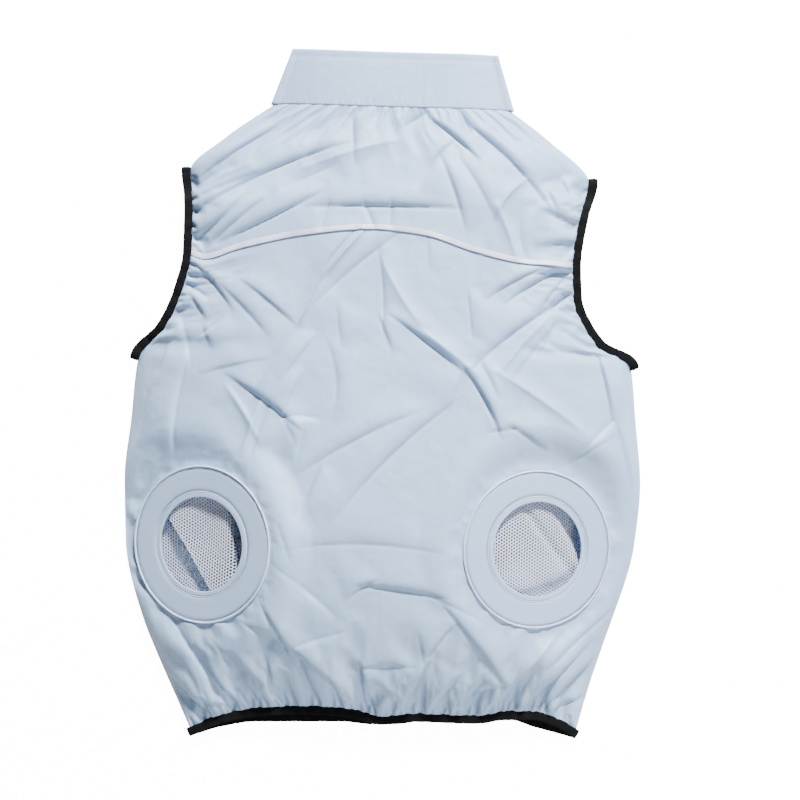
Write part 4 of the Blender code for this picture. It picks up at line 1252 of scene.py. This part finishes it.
def grid_normals(points):
    """Unit normals of a rows by columns grid: the cross product of its two differences."""
    return unit(np.cross(np.gradient(points, axis=1), np.gradient(points, axis=0)))


collar_normals = grid_normals(collar_rows.astype(float))
top_row = int(round((COLLAR_HEIGHT - COLLAR_STITCH_DROP) / COLLAR_HEIGHT * COLLAR_ROWS))
on_back = slice(80 + TURN_STEPS, 80 + TURN_STEPS + 161)
stitches = []
for name, row, pitch in (("collar_top_stitches", top_row, 0.0030), ("collar_base_stitches", 2, 0.0026)):
    stitches.append(stitch_row(
        name, collar_rows[row, on_back], collar_normals[row, on_back], pitch, pitch * 0.62, 0.0007,
        COLLAR_WALL / 2 - 0.0001,
    ))
back_rows = np.moveaxis(back_points, 0, -1).astype(float)
back_normals = grid_normals(back_rows)
for name, row in (("yoke_stitches", SEAM_ROW + 2), ("body_seam_stitches", SEAM_ROW - 2)):
    stitches.append(stitch_row(
        name, back_rows[row, 2:-2], back_normals[row, 2:-2], 0.0028, 0.0018, 0.0005, 0.0001,
    ))
for side in RINGS:
    angle = np.arange(RING_STEPS) * 2 * math.pi / RING_STEPS
    lean = math.radians(RING[side]["lean_deg"])
    up = np.tile([math.sin(lean), 0.0, math.cos(lean)], (RING_STEPS, 1))
    for name, radius, height in (
        ("ring_stitches", RING_RADIUS - 0.0016, RING_THICKNESS),
        ("port_stitches", PORT_SEAM_RADIUS + 0.0022, RING_THICKNESS),
    ):
        path = port_points(side, np.full(RING_STEPS, radius), angle, np.full(RING_STEPS, height))
        stitches.append(stitch_row(f"{name}_{side}", path, up, 0.0026, 0.0017, 0.0005, 0.0, True))

# %% [markdown]
# ## Finishes
# Nylon taffeta is a plain weave of shiny flat yarn: a satin gloss, a faint drift of tone, and
# tiny crinkles that catch the light between the real folds. The weave, the crinkle and the
# drift are node groups, because the nylon, the elastic and the net all use them at their own
# scale.

# %% Node groups
def add(tree, kind, x, **values):
    """A node in a tree; values are set on its properties, or on its inputs by name."""
    node = tree.nodes.new(kind)
    node.location.x = x
    for name, value in values.items():
        plain = name.replace("_", " ").title()
        if plain in node.inputs:
            node.inputs[plain].default_value = value
        else:
            setattr(node, name, value)
    return node


def new_group(name, inputs, outputs):
    """An empty node group with its sockets: (name, kind, default) in and (name, kind) out."""
    group = bpy.data.node_groups.new(name, "ShaderNodeTree")
    for label, kind, default in inputs:
        socket = group.interface.new_socket(label, in_out="INPUT", socket_type=kind)
        if default is not None:
            socket.default_value = default
    for label, kind in outputs:
        group.interface.new_socket(label, in_out="OUTPUT", socket_type=kind)
    return group, group.nodes.new("NodeGroupInput"), group.nodes.new("NodeGroupOutput")


def weave_group():
    """Height of a plain weave: the product of two sine waves square to each other."""
    group, inside, outside = new_group(
        "plain_weave",
        [("Vector", "NodeSocketVector", None), ("Scale", "NodeSocketFloat", 300.0)],
        [("Height", "NodeSocketFloat")],
    )
    waves = []
    for direction in ("X", "Y"):
        wave = add(group, "ShaderNodeTexWave", 200, bands_direction=direction)
        group.links.new(inside.outputs["Vector"], wave.inputs["Vector"])
        group.links.new(inside.outputs["Scale"], wave.inputs["Scale"])
        waves.append(wave)
    both = add(group, "ShaderNodeMath", 400, operation="MULTIPLY")
    for socket, wave in zip(both.inputs, waves):
        group.links.new(wave.outputs["Fac"], socket)
    group.links.new(both.outputs[0], outside.inputs["Height"])
    return group


def crinkle_group():
    """Height of small crinkles: flat cells with creases between, bent out of line by noise."""
    group, inside, outside = new_group(
        "crinkle",
        [("Vector", "NodeSocketVector", None), ("Scale", "NodeSocketFloat", 60.0)],
        [("Height", "NodeSocketFloat")],
    )
    bend = add(group, "ShaderNodeTexNoise", 0, scale=25.0, detail=3.0)
    shift = add(group, "ShaderNodeVectorMath", 200, operation="MULTIPLY_ADD")
    shift.inputs[1].default_value = (0.03, 0.03, 0.03)
    cells = add(group, "ShaderNodeTexVoronoi", 400, feature="SMOOTH_F1", smoothness=0.35)
    fine = add(group, "ShaderNodeTexNoise", 400, detail=5.0, roughness=0.6)
    total = add(group, "ShaderNodeMath", 600, operation="MULTIPLY_ADD")
    total.inputs[1].default_value = 0.35
    group.links.new(inside.outputs["Vector"], bend.inputs["Vector"])
    group.links.new(bend.outputs["Color"], shift.inputs[0])
    group.links.new(inside.outputs["Vector"], shift.inputs[2])
    group.links.new(shift.outputs[0], cells.inputs["Vector"])
    group.links.new(inside.outputs["Scale"], cells.inputs["Scale"])
    group.links.new(inside.outputs["Vector"], fine.inputs["Vector"])
    group.links.new(inside.outputs["Scale"], fine.inputs["Scale"])
    group.links.new(fine.outputs["Fac"], total.inputs[0])
    group.links.new(cells.outputs["Distance"], total.inputs[2])
    group.links.new(total.outputs[0], outside.inputs["Height"])
    return group


def drift_group():
    """A slow drift from 0 to 1 over the surface, for tone and gloss."""
    group, inside, outside = new_group(
        "drift",
        [("Vector", "NodeSocketVector", None), ("Scale", "NodeSocketFloat", 8.0)],
        [("Mask", "NodeSocketFloat")],
    )
    noise = add(group, "ShaderNodeTexNoise", 200, detail=4.0, roughness=0.55)
    spread = add(group, "ShaderNodeMapRange", 400)
    spread.inputs["From Min"].default_value = 0.3
    spread.inputs["From Max"].default_value = 0.7
    group.links.new(inside.outputs["Vector"], noise.inputs["Vector"])
    group.links.new(inside.outputs["Scale"], noise.inputs["Scale"])
    group.links.new(noise.outputs["Fac"], spread.inputs["Value"])
    group.links.new(spread.outputs["Result"], outside.inputs["Mask"])
    return group


GROUPS = {"weave": weave_group(), "crinkle": crinkle_group(), "drift": drift_group()}
print("node groups:", list(GROUPS))

# %% [markdown]
# Each finish mixes two tones by the drift, close ones on the cloth and far apart on the tape, where the mix
# paints patchy glints and grey shade. It varies its gloss by the same mask, and adds the weave and the
# crinkle as bump. The folds themselves are in the meshes.

# %% Materials
def finish(name, dark, light, rough, weave, crinkle, drift_scale, shine=0.5, uv=False):
    """A Principled shader; rough is (least, most), weave and crinkle are (scale, depth in m)."""
    material = bpy.data.materials.new(name)
    material.use_nodes = True
    tree = material.node_tree
    shader = tree.nodes["Principled BSDF"]
    shader.inputs["Metallic"].default_value = 0.0
    shader.inputs["Specular IOR Level"].default_value = shine
    place_on = add(tree, "ShaderNodeTexCoord", -1200)
    where = place_on.outputs["UV" if uv else "Object"]

    def use(group, scale, x, source):
        node = add(tree, "ShaderNodeGroup", x, node_tree=GROUPS[group])
        node.inputs["Scale"].default_value = scale
        tree.links.new(source, node.inputs["Vector"])
        return node.outputs[0]

    mask = use("drift", drift_scale, -900, place_on.outputs["Object"])
    tone = add(tree, "ShaderNodeMix", -500, data_type="RGBA")
    for socket, colour in zip(tone.inputs[6:8], (dark, light)):  # the two colour sockets
        socket.default_value = (*colour, 1)
    tree.links.new(mask, tone.inputs["Factor"])
    tree.links.new(tone.outputs[2], shader.inputs["Base Color"])
    gloss = add(tree, "ShaderNodeMapRange", -500)
    gloss.inputs["To Min"].default_value, gloss.inputs["To Max"].default_value = rough
    tree.links.new(mask, gloss.inputs["Value"])
    tree.links.new(gloss.outputs["Result"], shader.inputs["Roughness"])
    normal = None
    for kind, (scale, depth), source in (
        ("crinkle", crinkle, place_on.outputs["Object"]), ("weave", weave, where),
    ):
        if not depth:
            continue
        bump = add(tree, "ShaderNodeBump", -200, distance=depth)
        tree.links.new(use(kind, scale, -900, source), bump.inputs["Height"])
        if normal is not None:
            tree.links.new(normal, bump.inputs["Normal"])
        normal = bump.outputs["Normal"]
    tree.links.new(normal, shader.inputs["Normal"])
    return material


nylon = finish("ice_nylon", (0.370, 0.530, 0.770), (0.410, 0.570, 0.805), (0.32, 0.42),
               (700.0, 0.00006), (75.0, 0.0004), 7.0, uv=True)
ring_nylon = finish("ring_nylon", (0.375, 0.535, 0.775), (0.400, 0.560, 0.795), (0.40, 0.46),
                    (700.0, 0.00006), (40.0, 0.0003), 9.0)
# The tape's two tones lie far apart, so the drift between them paints patchy glints and grey shade along
# it, as well as giving its own tone.
glint_painted_tape = finish("reflective_tape", (0.50, 0.55, 0.74), (0.84, 0.84, 0.97), (0.28, 0.42),
                (900.0, 0.00004), (90.0, 0.0002), 26.0)
elastic = finish("black_elastic", (0.003, 0.003, 0.0035), (0.006, 0.006, 0.007), (0.8, 0.95),
                 (300.0, 0.0004), (200.0, 0.0001), 40.0, shine=0.12, uv=True)
net_white = finish("net_white", (0.78, 0.81, 0.99), (0.85, 0.87, 0.99), (0.55, 0.7),
                   (900.0, 0.0001), (300.0, 0.0001), 20.0)
thread = finish("seam_thread", (0.66, 0.76, 0.95), (0.78, 0.85, 0.98), (0.45, 0.6),
                (1500.0, 0.0001), (400.0, 0.0001), 30.0)
# Dark grey thread for the rows round the ports: partly their own thread, partly a painted shadow line
# beside each rolled seam.
painted_shadow_thread = finish("seam_shadow_thread", (0.24, 0.26, 0.32), (0.32, 0.34, 0.40), (0.5, 0.65),
                     (1500.0, 0.0001), (400.0, 0.0001), 30.0)
zip_cloth = finish("zip_grey", (0.26, 0.30, 0.35), (0.32, 0.36, 0.41), (0.5, 0.65),
                   (900.0, 0.0001), (120.0, 0.0001), 20.0)

for piece in (body, yoke, collar_piece, *fronts):
    piece.data.materials.append(nylon)
for piece in bindings:
    piece.data.materials.append(elastic)
tape.data.materials.append(glint_painted_tape)
zip_piece.data.materials.append(zip_cloth)
for piece in nets:
    piece.data.materials.append(net_white)
for ring, flange, edge_cord, hole_cord in port_pieces.values():
    for piece in (ring, flange):
        piece.data.materials.append(ring_nylon)
    for piece in (edge_cord, hole_cord):
        piece.data.materials.append(thread)
for piece in stitches:
    # The ring and port rows get the dark thread that paints shadow lines beside the rolled seams.
    dark = piece.name.startswith(("ring", "port"))
    piece.data.materials.append(painted_shadow_thread if dark else thread)
print("materials:", len(bpy.data.materials))

# %% [markdown]
# ## Area of the cloth
# The area of each front, the collar and each net is summed from their own faces. Cloth this thin doesn't
# stretch, so its flat area is taken to be the area of the finished surface itself.


def surface_area(piece):
    """Area of a piece's own faces, before its wall is added."""
    area = np.empty(len(piece.data.polygons))
    piece.data.polygons.foreach_get("area", area)
    return float(area.sum())


for panel in fronts:
    surface_area(panel)
surface_area(collar_piece)
for net in nets:
    surface_area(net)

# %% [markdown]
# ## Camera, floor and light
# The vest was photographed from straight above on white. The light comes from beyond the collar,
# low enough to show each fold, with a weaker one from the hem's side.
#
# The floor glows where it is seen directly, from any side, and its glow doesn't light the vest.
# So the ground is white, and the edges of the cloth aren't washed out by it.

# %% Camera, floor and lights
camera = bpy.data.objects.new("camera", bpy.data.cameras.new("camera"))
bpy.context.scene.collection.objects.link(camera)
camera.location = (CAMERA_X, CAMERA_Y, CAMERA_Z)
camera.data.lens = LENS
camera.data.sensor_width = SENSOR_WIDTH
bpy.context.scene.camera = camera

FLOOR_HALF = 3.0
FLOOR_Z = -0.0002
FLOOR_GLOW = 14.0
corners = np.array([(-1, -1), (1, -1), (1, 1), (-1, 1)]) * FLOOR_HALF
floor = new_piece("floor", np.hstack([corners, np.full((4, 1), FLOOR_Z)]), np.array([[0, 1, 2, 3]]))
floor_finish = bpy.data.materials.new("floor_white")
floor_finish.use_nodes = True
floor_shader = floor_finish.node_tree.nodes["Principled BSDF"]
floor_shader.inputs["Base Color"].default_value = (0.93, 0.93, 0.93, 1)
floor_shader.inputs["Roughness"].default_value = 0.9
floor_shader.inputs["Emission Strength"].default_value = FLOOR_GLOW
light_path = add(floor_finish.node_tree, "ShaderNodeLightPath", -300)
floor_finish.node_tree.links.new(
    light_path.outputs["Is Camera Ray"], floor_shader.inputs["Emission Color"])
floor.data.materials.append(floor_finish)


def soft_light(name, place, size, power, colour):
    """A square area light that faces the middle of the vest."""
    lamp = bpy.data.lights.new(name, "AREA")
    lamp.size = size
    lamp.energy = power
    lamp.color = colour
    light = bpy.data.objects.new(name, lamp)
    bpy.context.scene.collection.objects.link(light)
    light.location = place
    towards = -light.location
    light.rotation_mode = "QUATERNION"
    light.rotation_quaternion = towards.to_track_quat("-Z", "Y")


soft_light("key", (0.9, 3.4, 2.25), 0.5, 690, (1.0, 1.0, 1.0))
soft_light("fill", (1.1, -1.9, 1.3), 0.8, 56, (0.97, 0.99, 1.0))
world = bpy.data.worlds.new("studio")
world.use_nodes = True
world.node_tree.nodes["Background"].inputs["Color"].default_value = (0.96, 0.98, 1.0, 1)
world.node_tree.nodes["Background"].inputs["Strength"].default_value = 0.08
bpy.context.scene.world = world
